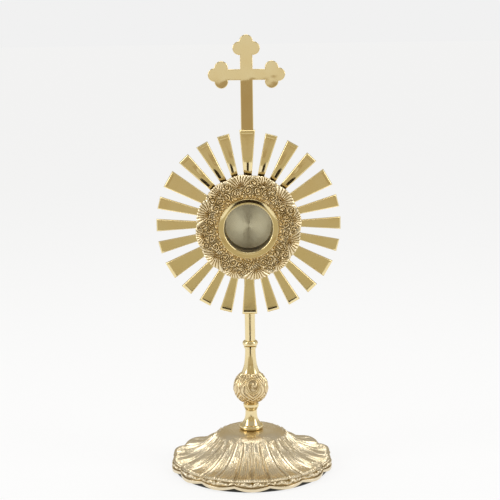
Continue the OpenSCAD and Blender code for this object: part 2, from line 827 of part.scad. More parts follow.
module wreath() {
    color(pale_brass)
        theca()
            ring_loft([
                wreath_ring(function(a) [hole_r, ray_front]),
                wreath_ring(function(a) [wreath_edge(a), ray_front]),
                wreath_ring(function(a) [wreath_edge(a), lip_front]),
                for (s = FACE_RINGS) wreath_face(s),
                wreath_ring(function(a) [hole_r, lip_front])
            ]);
}

// Cross

// A bar with bevelled front edges, along +x from the origin
module cross_bar(l, w) {
    half = w / 2;
    low = cross_front - cross_bevel;
    rotate([90, 0, 90])
        linear_extrude(height = l)
            polygon([
                [-half, cross_back], [half, cross_back], [half, low],
                [half - cross_bevel, cross_front], [cross_bevel - half, cross_front], [-half, low]
            ]);
}

module bud() {
    low = cross_front - cross_bevel;
    translate([0, 0, cross_back]) cylinder(r = bud_r, h = low - cross_back);
    translate([0, 0, low]) cylinder(r1 = bud_r, r2 = bud_r - cross_bevel, h = cross_bevel);
}

// A bar along +x from the origin that ends in three buds
module budded_arm(l, w) {
    tip = l - bud_r;
    cross_bar(tip, w);
    translate([tip, 0, 0]) bud();
    for (side = [-1, 1]) translate([tip - bud_step, side * bud_side, 0]) bud();
}

module at_rivets() {
    glory()
        for (y = [top_ray_r - rivet_edge, top_ray_r - tang_l + rivet_edge]) translate([0, y, 0]) children();
}

module cross() {
    color(pale_brass)
        difference() {
            glory()
                translate([0, top_ray_r, 0])
                    union() {
                        rotate([0, 0, 90]) budded_arm(cross_h, shaft_w);
                        translate([0, arm_z, 0]) budded_arm(cross_span / 2, arm_w);
                        translate([0, arm_z, 0]) rotate([0, 0, 180]) budded_arm(cross_span / 2, arm_w);
                        translate([-tang_w / 2, -tang_l, cross_back]) cube([tang_w, tang_l + past, tang_t]);
                    }
            at_rivets() backward(-web_t - past, past - cross_back, rivet_d / 2);
        }
}

module cross_rivets() {
    back = -cross_back;
    color(brass)
        at_rivets()
            union() {
                backward(-web_t - ray_hole, back, rivet_d / 2);
                translate([0, 0, -back - rivet_head_h])
                    cylinder(d1 = rivet_d, d2 = rivet_head_d, h = rivet_head_h);
            }
}

// Theca

module theca_case() {
    color(brass)
        theca()
            difference() {
                union() {
                    turned([
                        [bore_r, -flange_back], [flange_r, -flange_back],
                        [flange_r, flange_t - flange_back], [body_r, flange_t - flange_back],
                        [body_r, 0], [case_neck_r, 0], [case_neck_r, neck_front], [bore_r, neck_front]
                    ]);
                    translate([latch_x, 0, 0]) backward(flange_back - flange_t / 2, boss_back, boss_r);
                }
                translate([latch_x, 0, 0])
                    backward(boss_back - button_screw_in, boss_back + past, button_screw_d / 2);
            }
}

module glass_seal() {
    color(steel)
        theca()
            turned([
                [bore_r, neck_front], [case_neck_r - neck_clear, neck_front],
                [case_neck_r - neck_clear, seal_front], [bore_r, seal_front]
            ]);
}

module window_glass() {
    color(clear_glass, 0.4)
        theca()
            translate([0, 0, seal_front]) cylinder(r = case_neck_r - neck_clear, h = glass_t);
}

// A turned ring: an outer lip, a face that falls gently inwards from it, and a flat ring at the window
module bezel() {
    ring_front = bezel_front - funnel_fall;
    color(brass)
        theca()
            turned(concat(
                [
                    [case_neck_r, lip_front], [bezel_r, lip_front], [bezel_r, bezel_front],
                    [bezel_r - bezel_lip_w, bezel_front], [window_r + window_ring_w, ring_front]
                ],
                arc([window_r + window_round, ring_front - window_round], window_round, 90, 180),
                [[window_r, glass_front], [case_neck_r, glass_front]]
            ));
}

// Door, hinge and latch

// A cylinder along the hinge's upright axis, between two heights beside the glory's centre
module on_hinge(from, to, d) {
    translate([-hinge_x, from, -hinge_back]) rotate([-90, 0, 0]) cylinder(d = d, h = to - from);
}

module hinge_leaf() {
    low = mid_knuckle_l / 2 + knuckle_gap;
    high = hinge_l / 2;
    edge = hinge_x + leaf_w;
    plate_z = -flange_back - leaf_t;
    color(brass)
        theca()
            difference() {
                union() {
                    translate([-edge, -high, plate_z])
                        cube([leaf_w - knuckle_r - knuckle_gap, hinge_l, leaf_t]);
                    for (side = [0, 1])
                        mirror([0, side, 0]) {
                            translate([-edge, low, plate_z]) cube([leaf_w, high - low, leaf_t]);
                            on_hinge(low, high, knuckle_d);
                        }
                }
                on_hinge(-high - past, high + past, pin_d);
            }
}

module hinge_pin() {
    reach = hinge_l / 2 + pin_out;
    color(steel) theca() on_hinge(-reach, reach, pin_d);
}

module door_leaf() {
    half = mid_knuckle_l / 2;
    color(brass)
        theca()
            difference() {
                union() {
                    on_hinge(-half, half, knuckle_d);
                    translate([-hinge_x, -half, -door_back - leaf_t])
                        cube([hinge_x - door_r + door_leaf_reach, mid_knuckle_l, leaf_t]);
                }
                on_hinge(-half - past, half + past, pin_d + 2 * pin_clear);
            }
}

module door() {
    inner = spigot_r - spigot_wall;
    step_r = door_r - door_step_w;
    spigot_front = spigot_l - door_front;
    color(brass)
        theca()
            turned([
                [0, -door_back], [step_r, -door_back], [step_r + door_step_h, door_step_h - door_back],
                [door_r, door_step_h - door_back], [door_r, -door_front], [spigot_r, -door_front],
                [spigot_r, spigot_front], [inner, spigot_front], [inner, -door_front], [0, -door_front]
            ]);
}

module relic_plate() {
    color(satin_brass)
        theca() translate([0, 0, spigot_l - door_front]) cylinder(r = spigot_r, h = plate_t);
}

module door_knob() {
    foot_r = knob_foot_d / 2;
    ball_r = knob_d / 2;
    neck_r = knob_neck_d / 2;
    ball_y = knob_h - ball_r;
    meet = asin(neck_r / ball_r);
    color(pale_brass)
        theca()
            translate([knob_x, 0, -door_back])
                rotate([180, 0, 0])
                    rotate_extrude()
                        polygon(concat(
                            [[0, 0], [foot_r, 0], [foot_r, knob_foot_h], [neck_r, knob_foot_h]],
                            arc([0, ball_y], ball_r, meet - 90, 90)
                        ));
}

// The turn button hangs down at rest and turns inwards over the door's edge
module turn_button() {
    round_r = button_d / 2;
    tip_r = button_tip_d / 2;
    color(pale_brass)
        theca()
            translate([latch_x, 0, -button_back])
                linear_extrude(height = button_t)
                    difference() {
                        union() {
                            circle(r = round_r);
                            translate([0, -button_l]) circle(r = tip_r);
                            polygon([
                                [-round_r, 0], [-tip_r, -button_l], [tip_r, -button_l], [round_r, 0]
                            ]);
                        }
                        circle(d = button_screw_d + 2 * pin_clear);
                    }
}

module button_screw() {
    color(steel)
        theca()
            translate([latch_x, 0, 0])
                union() {
                    backward(boss_back - button_screw_in, head_front, button_screw_d / 2);
                    backward(head_front, head_front + button_head_h, button_head_d / 2);
                }
}

foot_felt();
foot();
foot_washer();
foot_nut();
tie_rod();
pedestal();
knop();
neck();
bead();
stem_rod();
rod_screws();
ray_plate();
narrow_rays();
wide_rays();
wreath();
cross();
cross_rivets();
theca_case();
glass_seal();
window_glass();
bezel();
hinge_leaf();
hinge_pin();
door();
door_leaf();
relic_plate();
door_knob();
turn_button();
button_screw();
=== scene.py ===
import json
import math

import bpy
import numpy as np
from mathutils import Matrix, Vector


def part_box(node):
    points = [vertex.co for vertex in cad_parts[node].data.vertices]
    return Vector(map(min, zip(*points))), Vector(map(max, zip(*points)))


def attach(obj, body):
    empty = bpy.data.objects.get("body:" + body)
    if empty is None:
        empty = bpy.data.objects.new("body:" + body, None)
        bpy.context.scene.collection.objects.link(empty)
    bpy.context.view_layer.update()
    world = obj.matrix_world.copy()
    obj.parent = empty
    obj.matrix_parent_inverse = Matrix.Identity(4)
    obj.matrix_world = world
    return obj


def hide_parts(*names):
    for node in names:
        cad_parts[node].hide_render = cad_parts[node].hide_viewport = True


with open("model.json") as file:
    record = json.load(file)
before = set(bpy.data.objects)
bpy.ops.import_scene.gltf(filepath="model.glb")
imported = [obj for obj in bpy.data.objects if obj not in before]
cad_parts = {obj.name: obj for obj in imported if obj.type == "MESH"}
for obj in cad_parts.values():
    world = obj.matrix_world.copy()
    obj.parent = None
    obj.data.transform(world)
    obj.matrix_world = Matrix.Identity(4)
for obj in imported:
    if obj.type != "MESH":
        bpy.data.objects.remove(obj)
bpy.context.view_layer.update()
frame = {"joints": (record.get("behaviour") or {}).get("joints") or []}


# Felt ring. A ring of near-black wool felt, punched from sheet and glued under the rim of the foot,
# so that the casting doesn't scratch the table.
MM = 0.001
WELD = 0.001 * MM
FELT_W = 6 * MM
FELT_ROUND = 0.3 * MM
FELT_STEPS = 160
FELT_FIBRE = 0.5 * MM
FELT_NAP = 0.1 * MM


def linear(hex_colour):
    """An sRGB hex colour as the linear values that a colour socket takes."""
    parts = [int(hex_colour[i:i + 2], 16) / 255 for i in (1, 3, 5)]
    return [p / 12.92 if p <= 0.04045 else ((p + 0.055) / 1.055) ** 2.4 for p in parts] + [1]


def fill(node, inputs):
    """Fills each named input of a node with a value or a link."""
    for key, value in inputs.items():
        if isinstance(value, bpy.types.NodeSocket):
            node.id_data.links.new(value, node.inputs[key])
        else:
            node.inputs[key].default_value = value


def add(tree, kind, output, inputs, **settings):
    """Adds a shader node with its inputs and settings, and returns one of its outputs."""
    node = tree.nodes.new("ShaderNode" + kind)
    for key, value in settings.items():
        setattr(node, key, value)
    fill(node, inputs)
    return node.outputs[output]


def new_material(name):
    """A material with its node tree and its main shader."""
    material = bpy.data.materials.new(name)
    material.use_nodes = True
    return material, material.node_tree, material.node_tree.nodes["Principled BSDF"]


def mottled(name, light, dark, patch, detail, grit=0.5):
    """A material whose colour drifts between two tones, in patches of one size. With it come its tree and
    shader, the place on the piece, and how far the drift has gone there."""
    material, tree, shader = new_material(name)
    place = add(tree, "TexCoord", "Object", {})
    drift = add(tree, "TexNoise", "Fac",
                {"Vector": place, "Scale": 1 / patch, "Detail": detail, "Roughness": grit})
    tone = add(tree, "MixRGB", "Color", {"Fac": drift, "Color1": linear(light), "Color2": linear(dark)})
    fill(shader, {"Base Color": tone})
    return material, tree, shader, place, drift


def start(name, primitive, **settings):
    """Adds a primitive as a new piece, with its place in its mesh and nothing else selected."""
    bpy.ops.object.select_all(action="DESELECT")
    primitive(**settings)
    piece = bpy.context.object
    piece.name = piece.data.name = name
    bpy.ops.object.transform_apply()
    return piece


def mode(kind):
    """Goes over to object mode or to edit mode."""
    bpy.ops.object.mode_set(mode=kind)


def trace(name, places):
    """Draws a closed outline vertex by vertex as a new piece, and stays in edit mode."""
    piece = start(name, bpy.ops.mesh.primitive_plane_add, size=MM)
    mode("EDIT")
    bpy.ops.mesh.select_mode(type="VERT")
    bpy.ops.mesh.merge(type="CENTER")
    bpy.ops.transform.translate(value=places[0])
    for here, there in zip(places, places[1:] + places[:1]):
        bpy.ops.mesh.extrude_vertices_move(TRANSFORM_OT_translate={"value": there - here})
    bpy.ops.mesh.select_all(action="SELECT")
    bpy.ops.mesh.remove_doubles(threshold=WELD)
    return piece


def close_up():
    """Welds the seams of the piece in edit mode, turns its faces outwards and leaves edit mode."""
    bpy.ops.mesh.select_all(action="SELECT")
    bpy.ops.mesh.remove_doubles(threshold=WELD)
    bpy.ops.mesh.normals_make_consistent(inside=False)
    mode("OBJECT")


def turned(name, outline, steps, centre=None):
    """Turns a closed outline of (radius, height) points a full turn. With no centre it stands on the
    stem's axis; with one its axis lies level through it, and the height is a distance forward."""
    level = centre is not None
    piece = trace(name, [Vector((r, -h, 0) if level else (r, 0, h)) for r, h in outline])
    mode("OBJECT")
    lathe = piece.modifiers.new("lathe", "SCREW")
    lathe.axis = "Y" if level else "Z"
    lathe.steps = lathe.render_steps = steps
    lathe.use_merge_vertices = True
    lathe.merge_threshold = WELD
    bpy.ops.object.modifier_apply(modifier=lathe.name)
    mode("EDIT")
    close_up()
    if level:
        piece.data.transform(Matrix.Translation(centre))
    return piece


def arc(x, y, radius, start_deg, end_deg, count):
    """Points along an arc, with both ends."""
    turns = np.radians(np.linspace(start_deg, end_deg, count + 1))
    return [(x + radius * math.cos(t), y + radius * math.sin(t)) for t in turns]


def seat(piece, material, node, body="stand", smooth=32, flat_faces=False):
    """Smooths a finished piece, gives it its material and puts it in its node's place on its body. With
    flat faces, the roundings take up the turn and the wide faces between them shade flat."""
    bpy.ops.object.select_all(action="DESELECT")
    piece.select_set(True)
    bpy.context.view_layer.objects.active = piece
    bpy.ops.object.shade_smooth_by_angle(angle=math.radians(smooth))
    if flat_faces:
        weigh = piece.modifiers.new("flat_faces", "WEIGHTED_NORMAL")
        weigh.keep_sharp = True
        weigh.weight = 100
        bpy.ops.object.modifier_apply(modifier=weigh.name)
    piece.data.materials.clear()
    piece.data.materials.append(material)
    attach(piece, body)
    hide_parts(node)


# Wool felt: matt, a little lighter where fibres stand up; they are drawn coarser than wool, to show
felt, tree, shader, place, fibres = mottled("wool_felt", "#15140F", "#2E2B22", FELT_FIBRE, 6, grit=0.7)
nap = add(tree, "Bump", "Normal", {"Height": fibres, "Strength": 0.6, "Distance": FELT_NAP})
fill(shader, {"Normal": nap, "Roughness": 0.95, "Sheen Weight": 0.3})

low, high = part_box("foot_felt")
felt_r = high.x
felt_ring = turned(
    "felt_ring",
    [(felt_r - FELT_W, low.z), (felt_r - FELT_ROUND, low.z)]
    + arc(felt_r - FELT_ROUND, low.z + FELT_ROUND, FELT_ROUND, -90, 0, 4)
    + [(felt_r, high.z), (felt_r - FELT_W, high.z)],
    FELT_STEPS,
)
seat(felt_ring, felt, "foot_felt")


# Foot. A hollow brass casting like a round shell, drawn up to a flat crown: fourteen lobes, ribs along
# their middles and the valleys between them, fine combed lines and a scrolled rim; chased and gilt.
FOOT_LOBES = 14
STEPS_PER_LOBE = 60
STEM_BORE_R = 2.25 * MM
SEAT_R = 9 * MM
CROWN_ROUND_R = 12 * MM
CROWN_LEAD = 0.5 * MM
CROWN_FALL = 1.1 * MM
CROWN_T = 4 * MM
FLUTE_START_R = 20.5 * MM
FLUTE_TOP_R = 27 * MM
FLUTE_LEAD = 3.6 * MM
FLUTE_HOLLOW = 2.1
FLUTE_RINGS = 52
FLUTE_CROWDING = 1.25
FOOT_WALL = 2.2 * MM
ROOF_GAP = 0.6 * MM
ROOF_LOWEST = 0.4 * MM
ROOF_RINGS = 10
NOTCH_DEPTH = 2 * MM
BORDER_W = 2.6 * MM
BORDER_RISE = 0.5 * MM
RIM_H = 7 * MM
RIM_LAND = 7 * MM
LAND_FLAT = 3 * MM
LAND_EASE = 4 * MM
PANEL_DIP = 0.5 * MM
RIM_WAVE = 0.6 * MM
HEM_LIFT = 1.4 * MM
HEM_EDGE = 1 * MM
VALLEY_RIB_H = 1.0 * MM
MIDDLE_RIB_H = 0.8 * MM
RIB_W = 0.36 * MM
RIB_SIDE = 1.0 * MM
RIB_START_R = 22.5 * MM
RIB_SPREAD = (0.9, 0.4)
RIB_FADE = 0.35
COMB_H = 0.44 * MM
COMBS_PER_LOBE = 14
SCROLLS_PER_LOBE = 3
SCROLL_H = 0.8 * MM
SCROLL_SINK = 0.4
SCROLL_MID = 3.8 * MM
SCROLL_EDGE = 0.1 * MM
UNEVEN_STEP = 2.4
PLATING_PATCH = 9 * MM
DULLER_IN_HOLLOWS = 0.18

# The rim in section: curves of (radius, height over the casting's lower edge) in mm
BORDER_CURVE = (50.4, 6.5), (51.6, 6.3), (52.6, 5.7), (53, 4.4)
SIDE_CURVE = (53, 4.4), (53, 3.6), (52.95, 2.4), (52.9, 1.8)
LIP_CURVE = (52.9, 1.8), (53, 1.4), (53, 0.4), (52.8, -0.5)
LIP_UNDER = [(51.9, -0.6), (50.9, 0)]

# The rim's scrolls: middle, half length and half width of what is in each, in mm, and how it leans
LONG_LEAF = (-1.7, 1.7, 0.75)
SHORT_LEAF = (1.3, 1.2, 0.7)
RIM_BEAD = (3.2, 0.75, 0.75)
LEAF_LEAN = 0.35
LEAF_LEAN_VARIES = 0.15
LEAF_RISE = 0.2
BEAD_RISE = 0.5

# Where each form begins or ends, as shares of the way down the flutes
CROWN_ENDS = (0.2, -0.05)
FLUTES_BEGIN = (-0.06, 0.02)
RIBS_END = (1.04, 0.94)
COMBS_BEGIN = (0.12, 0.37)
COMBS_CROSS_RIBS = (0.5, 0.85)
DIPS_BEGIN = (0, 0.2)
DIPS_END = (1.05, 0.7)
WAVES_BEGIN = (0.3, 1)

# The same in other measures: through the wall, up the rim, away from a rib, and over the lower edge
WALL_MIDDLE = (0.4, 0.6)
FLUTES_OVER_RIM = (0.5, 0.8)
WAVES_OVER_RIM = (0.25, 0.9)
COMBS_OFF_RIBS = (1.5 * MM, 2.1 * MM)
SCROLLS_BEGIN = (1.3 * MM, 1.7 * MM)
SCROLLS_END = (6.1 * MM, 5.4 * MM)
LOWER_FILLET = (2.0 * MM, 1.5 * MM)
UPPER_FILLET = (5.1 * MM, 5.7 * MM)
HEM_ENDS = (4 * MM, 0)
FLUTES_LOWEST = 2 * MM
CROWN_LOWEST = 4 * MM

# How much painted shade, a brown tone, lies in each kind of hollow, and how much painted reflection on the
# crown
CROWN_PAINTED_REFLECTION = 0.1
COMB_PAINTED_SHADE = 0.22
VALLEY_RIB_PAINTED_SHADE = 0.6
MIDDLE_RIB_PAINTED_SHADE = 0.48
SCROLL_PAINTED_SHADE = 0.8
SCROLL_SHADE_BELOW = (0.35, 0.08)


def ramp(low, high, value):
    """0 at low, 1 at high and an even rise between them, also where high is the smaller."""
    t = np.clip((value - low) / (high - low), 0, 1)
    return t * t * (3 - 2 * t)


def bell(value, width):
    """1 at nought, falling off evenly on both sides."""
    return np.exp(-(value / width) ** 2)


def ripple(phase):
    """An even wave between 0 and 1, and 1 at nought."""
    return 0.5 + 0.5 * np.cos(phase)


def emboss(piece, shape):
    """Moves all vertices by a formula, which also gives each one a share of painted shade, from 0 to 1:
    most where it lies deep in a hollow, and on the foot's crown a painted reflection. The material reads
    that as the piece's own attribute."""
    mesh = piece.data
    places = np.empty(3 * len(mesh.vertices))
    mesh.vertices.foreach_get("co", places)
    x, y, z, hollow = shape(*places.reshape(-1, 3).T)
    mesh.vertices.foreach_set("co", np.stack((x, y, z), 1).ravel())
    mesh.attributes.new("hollow", "FLOAT", "POINT").data.foreach_set("value", hollow)
    mesh.update()


def gilding(name, light, deep, roughness, grain, grain_h, wave, wave_h, hollow_shade=None):
    """Gold plate on brass. The colour drifts between two tones, the grain gives a satin or a mirror, and
    the wave is the slow unevenness that hand polishing leaves. What it lays in hollows is painted shade:
    a brown tone where the piece's hollow attribute says, which also dulls the gloss there."""
    material, tree, shader, place, drift = mottled(name, light, deep, PLATING_PATCH, 4)
    gloss = add(tree, "MapRange", "Result", {"Value": drift, "From Min": 0.3, "From Max": 0.7,
                                             "To Min": roughness * 0.8, "To Max": roughness * 1.25})
    # Painted shade: the hollow attribute mixes a brown tone into the colour
    if hollow_shade:
        hollow = add(tree, "Attribute", "Fac", {}, attribute_name="hollow")
        unshaded = shader.inputs["Base Color"].links[0].from_socket
        with_painted_shade = add(tree, "MixRGB", "Color", {"Fac": hollow, "Color1": unshaded, "Color2": linear(hollow_shade)})
        fill(shader, {"Base Color": with_painted_shade})
        gloss = add(tree, "Math", "Value", {0: hollow, 1: DULLER_IN_HOLLOWS, 2: gloss}, operation="MULTIPLY_ADD")
    slow = add(tree, "TexNoise", "Fac", {"Vector": place, "Scale": 1 / wave, "Detail": 2})
    fine = add(tree, "TexNoise", "Fac", {"Vector": place, "Scale": 1 / grain, "Detail": 3})
    waves = add(tree, "Bump", "Normal", {"Height": slow, "Distance": wave_h})
    grains = add(tree, "Bump", "Normal", {"Height": fine, "Distance": grain_h, "Normal": waves})
    fill(shader, {"Metallic": 1, "Roughness": gloss, "Normal": grains})
    return material


def curve(a, b, c, d, count):
    """Points along a cubic curve, with both ends."""
    points = []
    for t in np.linspace(0, 1, count + 1):
        shares = ((1 - t) ** 3, 3 * t * (1 - t) ** 2, 3 * t * t * (1 - t), t ** 3)
        points.append(tuple(sum(s * p[i] for s, p in zip(shares, (a, b, c, d))) for i in (0, 1)))
    return points


foot_low, foot_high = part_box("foot")
foot_r = foot_high.y
flute_start_z = foot_high.z - CROWN_FALL
flute_end_r = foot_r - BORDER_W
flute_end_z = foot_low.z + RIM_H - BORDER_RISE
crown_low = foot_high.z - CROWN_T
mouth_r = foot_r - NOTCH_DEPTH - RIM_LAND


def down_flutes(r):
    """Share of the way from the start of the flutes to the rim's border."""
    return (r - FLUTE_START_R) / (flute_end_r - FLUTE_START_R)


def flute_z(r):
    """Height of the flutes' middle surface."""
    steep = (1 - np.clip(down_flutes(r), 0, 1)) ** FLUTE_HOLLOW
    return flute_end_z + (flute_start_z - flute_end_z) * steep


def roof_z(r):
    """Height of the roof of the hollow under the foot."""
    return max(foot_low.z + ROOF_LOWEST, flute_z(r) - FOOT_WALL - ROOF_GAP)


def rib_pair(from_line, r):
    """Two ribs beside a line, joined by a round arch at the crown's edge: their height, and how far
    a place lies from the line."""
    arch = np.hypot(from_line, np.maximum(0, RIB_START_R + RIB_SIDE - r))
    share = np.clip(down_flutes(r), 0, 1)
    side = RIB_SIDE * (RIB_SPREAD[0] + RIB_SPREAD[1] * share)
    return bell(arch - side, RIB_W) * (1 - RIB_FADE * share), arch


def rim_leaf(across, up, middle, half_l, half_w, lean, rise):
    """Height of one leaf or bead of the rim's scrolls, all in mm."""
    along = across - middle
    return bell(np.hypot(along / half_l, (up - lean * along - rise) / half_w), 1)


def rim_scroll(lobe, level):
    """Height of the scrolls along the rim: in each a long leaf, a shorter one that leans the other
    way and a bead, no two quite alike."""
    place = lobe * SCROLLS_PER_LOBE
    pitch = math.tau * foot_r / FOOT_LOBES / SCROLLS_PER_LOBE
    cell = np.floor(place)
    vary = np.sin(cell * UNEVEN_STEP)
    across = (place - cell - 0.5) * pitch / MM
    up = (level - SCROLL_MID) / MM
    lean = LEAF_LEAN + LEAF_LEAN_VARIES * vary
    return np.maximum.reduce([
        rim_leaf(across, up, *LONG_LEAF, lean, LEAF_RISE),
        rim_leaf(across, up, *SHORT_LEAF, -lean, -LEAF_RISE),
        rim_leaf(across, up, *RIM_BEAD, 0, BEAD_RISE * vary),
        ramp(*UPPER_FILLET, level),
        ramp(*LOWER_FILLET, level),
    ])


def shell_foot(x, y, z):
    """Lobes in plan, and ribs, combing and scrolls on the outside; the hollow below stays round."""
    r = np.hypot(x, y)
    lobe = np.arctan2(x, -y) * FOOT_LOBES / math.tau
    across = np.abs(lobe - np.round(lobe)) * 2
    crest = np.cos(across * math.pi / 2)
    level = z - foot_low.z
    along = down_flutes(r)
    through_wall = (z - flute_z(r) + FOOT_WALL + ROOF_GAP) / FOOT_WALL
    outside = np.where(r > mouth_r, 1, ramp(*WALL_MIDDLE, through_wall))
    flutes = ramp(*FLUTES_BEGIN, along) * outside * ramp(*FLUTES_OVER_RIM, level / RIM_H)

    half_lobe = math.pi * r / FOOT_LOBES
    valley_ribs, from_valley = rib_pair((1 - across) * half_lobe, r)
    middle_ribs, from_middle = rib_pair(across * half_lobe, r)
    ribs = (VALLEY_RIB_H * valley_ribs + MIDDLE_RIB_H * middle_ribs) * flutes * ramp(*RIBS_END, along)
    off_ribs = ramp(*COMBS_OFF_RIBS, np.minimum(from_valley, from_middle))
    combed = np.maximum(off_ribs, ramp(*COMBS_CROSS_RIBS, along)) * flutes * ramp(*COMBS_BEGIN, along)
    combs = ripple(lobe * COMBS_PER_LOBE * math.tau)
    dips = PANEL_DIP * np.sin(across * math.pi) ** 2 * flutes
    dips = dips * ramp(*DIPS_BEGIN, along) * ramp(*DIPS_END, along)
    waves = RIM_WAVE * (2 * crest - 1) * ramp(*WAVES_BEGIN, along) * ramp(*WAVES_OVER_RIM, level / RIM_H)
    hem = HEM_LIFT * (1 - crest) * ramp(mouth_r + LAND_FLAT, foot_r - HEM_EDGE, r) * ramp(*HEM_ENDS, level)

    on_rim = ramp(*SCROLLS_BEGIN, level) * ramp(*SCROLLS_END, level) * (r > flute_end_r + SCROLL_EDGE)
    scroll = rim_scroll(lobe, level)
    sunk = SCROLL_H * (1 - scroll) * on_rim
    lift = (waves - dips) * outside + ribs + COMB_H * (combs - 0.5) * combed + hem - SCROLL_SINK * sunk
    on_flutes = (outside > 0.5) & (r < flute_end_r) & (level > FLUTES_LOWEST)
    land = ramp(mouth_r, mouth_r + LAND_EASE, r) * (r > mouth_r)
    inward = NOTCH_DEPTH * (1 - crest) * np.where(on_flutes, np.clip(along, 0, 1), land) + sunk
    scale = (r - inward) / np.maximum(r, MM)

    # Painted shade: a brown tone in the grooves along the ribs, in the comb lines and between the scrolls
    in_ribs = VALLEY_RIB_PAINTED_SHADE * bell(from_valley, RIB_SIDE / 2)
    in_ribs = in_ribs + MIDDLE_RIB_PAINTED_SHADE * bell(from_middle, RIB_SIDE / 2)
    # Painted reflection: a faint brown tone over the plain crown, where the stem's reflection falls
    tone = CROWN_PAINTED_REFLECTION * ramp(*CROWN_ENDS, along) * (level > CROWN_LOWEST)
    tone = tone + COMB_PAINTED_SHADE * combed * (1 - combs) ** 2 + flutes * in_ribs
    tone = tone + SCROLL_PAINTED_SHADE * on_rim * ramp(*SCROLL_SHADE_BELOW, scroll)
    return x * scale, y * scale, z + lift, np.clip(tone, 0, 1) * outside


flute_shares = [(i / FLUTE_RINGS) ** FLUTE_CROWDING for i in range(1, FLUTE_RINGS + 1)]
flute_radii = [FLUTE_START_R + (flute_end_r - FLUTE_START_R) * share for share in flute_shares]
flute_top_z = float(flute_z(FLUTE_TOP_R))
flute_top_slope = (float(flute_z(FLUTE_TOP_R + MM)) - flute_top_z) / MM
crown_edge = curve((CROWN_ROUND_R, foot_high.z), (FLUTE_START_R + CROWN_LEAD, foot_high.z),
                   (FLUTE_TOP_R - FLUTE_LEAD, flute_top_z - FLUTE_LEAD * flute_top_slope),
                   (FLUTE_TOP_R, flute_top_z), 22)
rim = curve(*BORDER_CURVE, 12)[1:] + curve(*SIDE_CURVE, 12)[1:] + curve(*LIP_CURVE, 8)[1:] + LIP_UNDER
foot = turned(
    "shell_foot",
    [(STEM_BORE_R, foot_high.z), (SEAT_R, foot_high.z)]
    + crown_edge
    + [(r, float(flute_z(r))) for r in flute_radii if r > FLUTE_TOP_R]
    + [(r * MM, foot_low.z + level * MM) for r, level in rim]
    + [(mouth_r + LAND_FLAT, foot_low.z), (mouth_r, foot_low.z)]
    + [(r, float(roof_z(r))) for r in np.linspace(mouth_r, FLUTE_START_R, ROOF_RINGS)]
    + [(SEAT_R, crown_low), (STEM_BORE_R, crown_low)],
    FOOT_LOBES * STEPS_PER_LOBE,
)
emboss(foot, shell_foot)

# Cast gilt brass: a pale gold satin from the grain of the mould, which is drawn coarser than it is so
# that it shows; painted shade, a browner tone, lies in the lines, the ribs' grooves and between the
# scrolls, and a painted reflection darkens the crown
cast_gilt = gilding("cast_gilt_brass", "#F0E4CB", "#E0CEA8", roughness=0.2, grain=1.1 * MM,
                    grain_h=0.22 * MM, wave=9 * MM, wave_h=0.06 * MM, hollow_shade="#806632")
seat(foot, cast_gilt, "foot", smooth=50)


# Washer, nut and tie rod. Plain steel: one threaded rod runs up through the whole stem, and the nut
# under the crown of the foot draws every piece of it together.
EDGE = 0.25 * MM
THREAD_PITCH = 0.7 * MM
THREAD_DEPTH = 0.35 * MM
THREAD_RINGS = 8
NUT_CHAMFER = 0.5 * MM
NUT_CROWN = 0.15 * MM
NUT_BORE = 1.35
TURN_STEPS = 48

# Drawn steel: grey, and faintly mottled by the die that it was drawn through
steel, tree, shader, place, drift = mottled("drawn_steel", "#8F9090", "#B9B8B3", 0.4 * MM, 3)
gloss = add(tree, "MapRange", "Result", {"Value": drift, "To Min": 0.25, "To Max": 0.45})
marks = add(tree, "Bump", "Normal", {"Height": drift, "Distance": 0.01 * MM})
fill(shader, {"Metallic": 1, "Roughness": gloss, "Normal": marks})


def plain_round(name, bore, r, low, high, steps, centre=None):
    """A turned disc, bar or tube with both of its outer edges broken."""
    rim = [(r - EDGE, low), (r, low + EDGE), (r, high - EDGE), (r - EDGE, high)]
    return turned(name, [(bore, low)] + rim + [(bore, high)], steps, centre)


def pick(piece, kind, wanted):
    """Selects the faces or the edges that a test picks, and goes into edit mode on them."""
    mode("EDIT")
    bpy.ops.mesh.select_mode(type=kind)
    bpy.ops.mesh.select_all(action="DESELECT")
    mode("OBJECT")
    for part in piece.data.polygons if kind == "FACE" else piece.data.edges:
        part.select = wanted(part)
    mode("EDIT")


low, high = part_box("foot_washer")
washer = plain_round("washer", STEM_BORE_R, high.x, low.z, high.z, TURN_STEPS)
seat(washer, steel, "foot_washer")

low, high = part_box("tie_rod")
tie_r = high.x
thread_rings = int((foot_high.z - low.z) / THREAD_PITCH * THREAD_RINGS)
tie_rod = turned(
    "tie_rod_thread",
    [(0, low.z), (tie_r - NUT_CHAMFER, low.z)]
    + [(tie_r, z) for z in np.linspace(low.z + NUT_CHAMFER, foot_high.z, thread_rings)]
    + [(tie_r, high.z), (0, high.z)],
    TURN_STEPS,
)


def screw_thread(x, y, z):
    """A thread cut below the seat of the stem."""
    r = np.hypot(x, y)
    phase = (z / THREAD_PITCH - np.arctan2(y, x) / math.tau) % 1
    threaded = (r > 0.9 * tie_r) * ramp(foot_high.z, foot_high.z - MM, z)
    scale = 1 - THREAD_DEPTH * np.abs(2 * phase - 1) * threaded / np.maximum(r, MM)
    return x * scale, y * scale, z, np.zeros_like(r)


emboss(tie_rod, screw_thread)
seat(tie_rod, steel, "tie_rod")

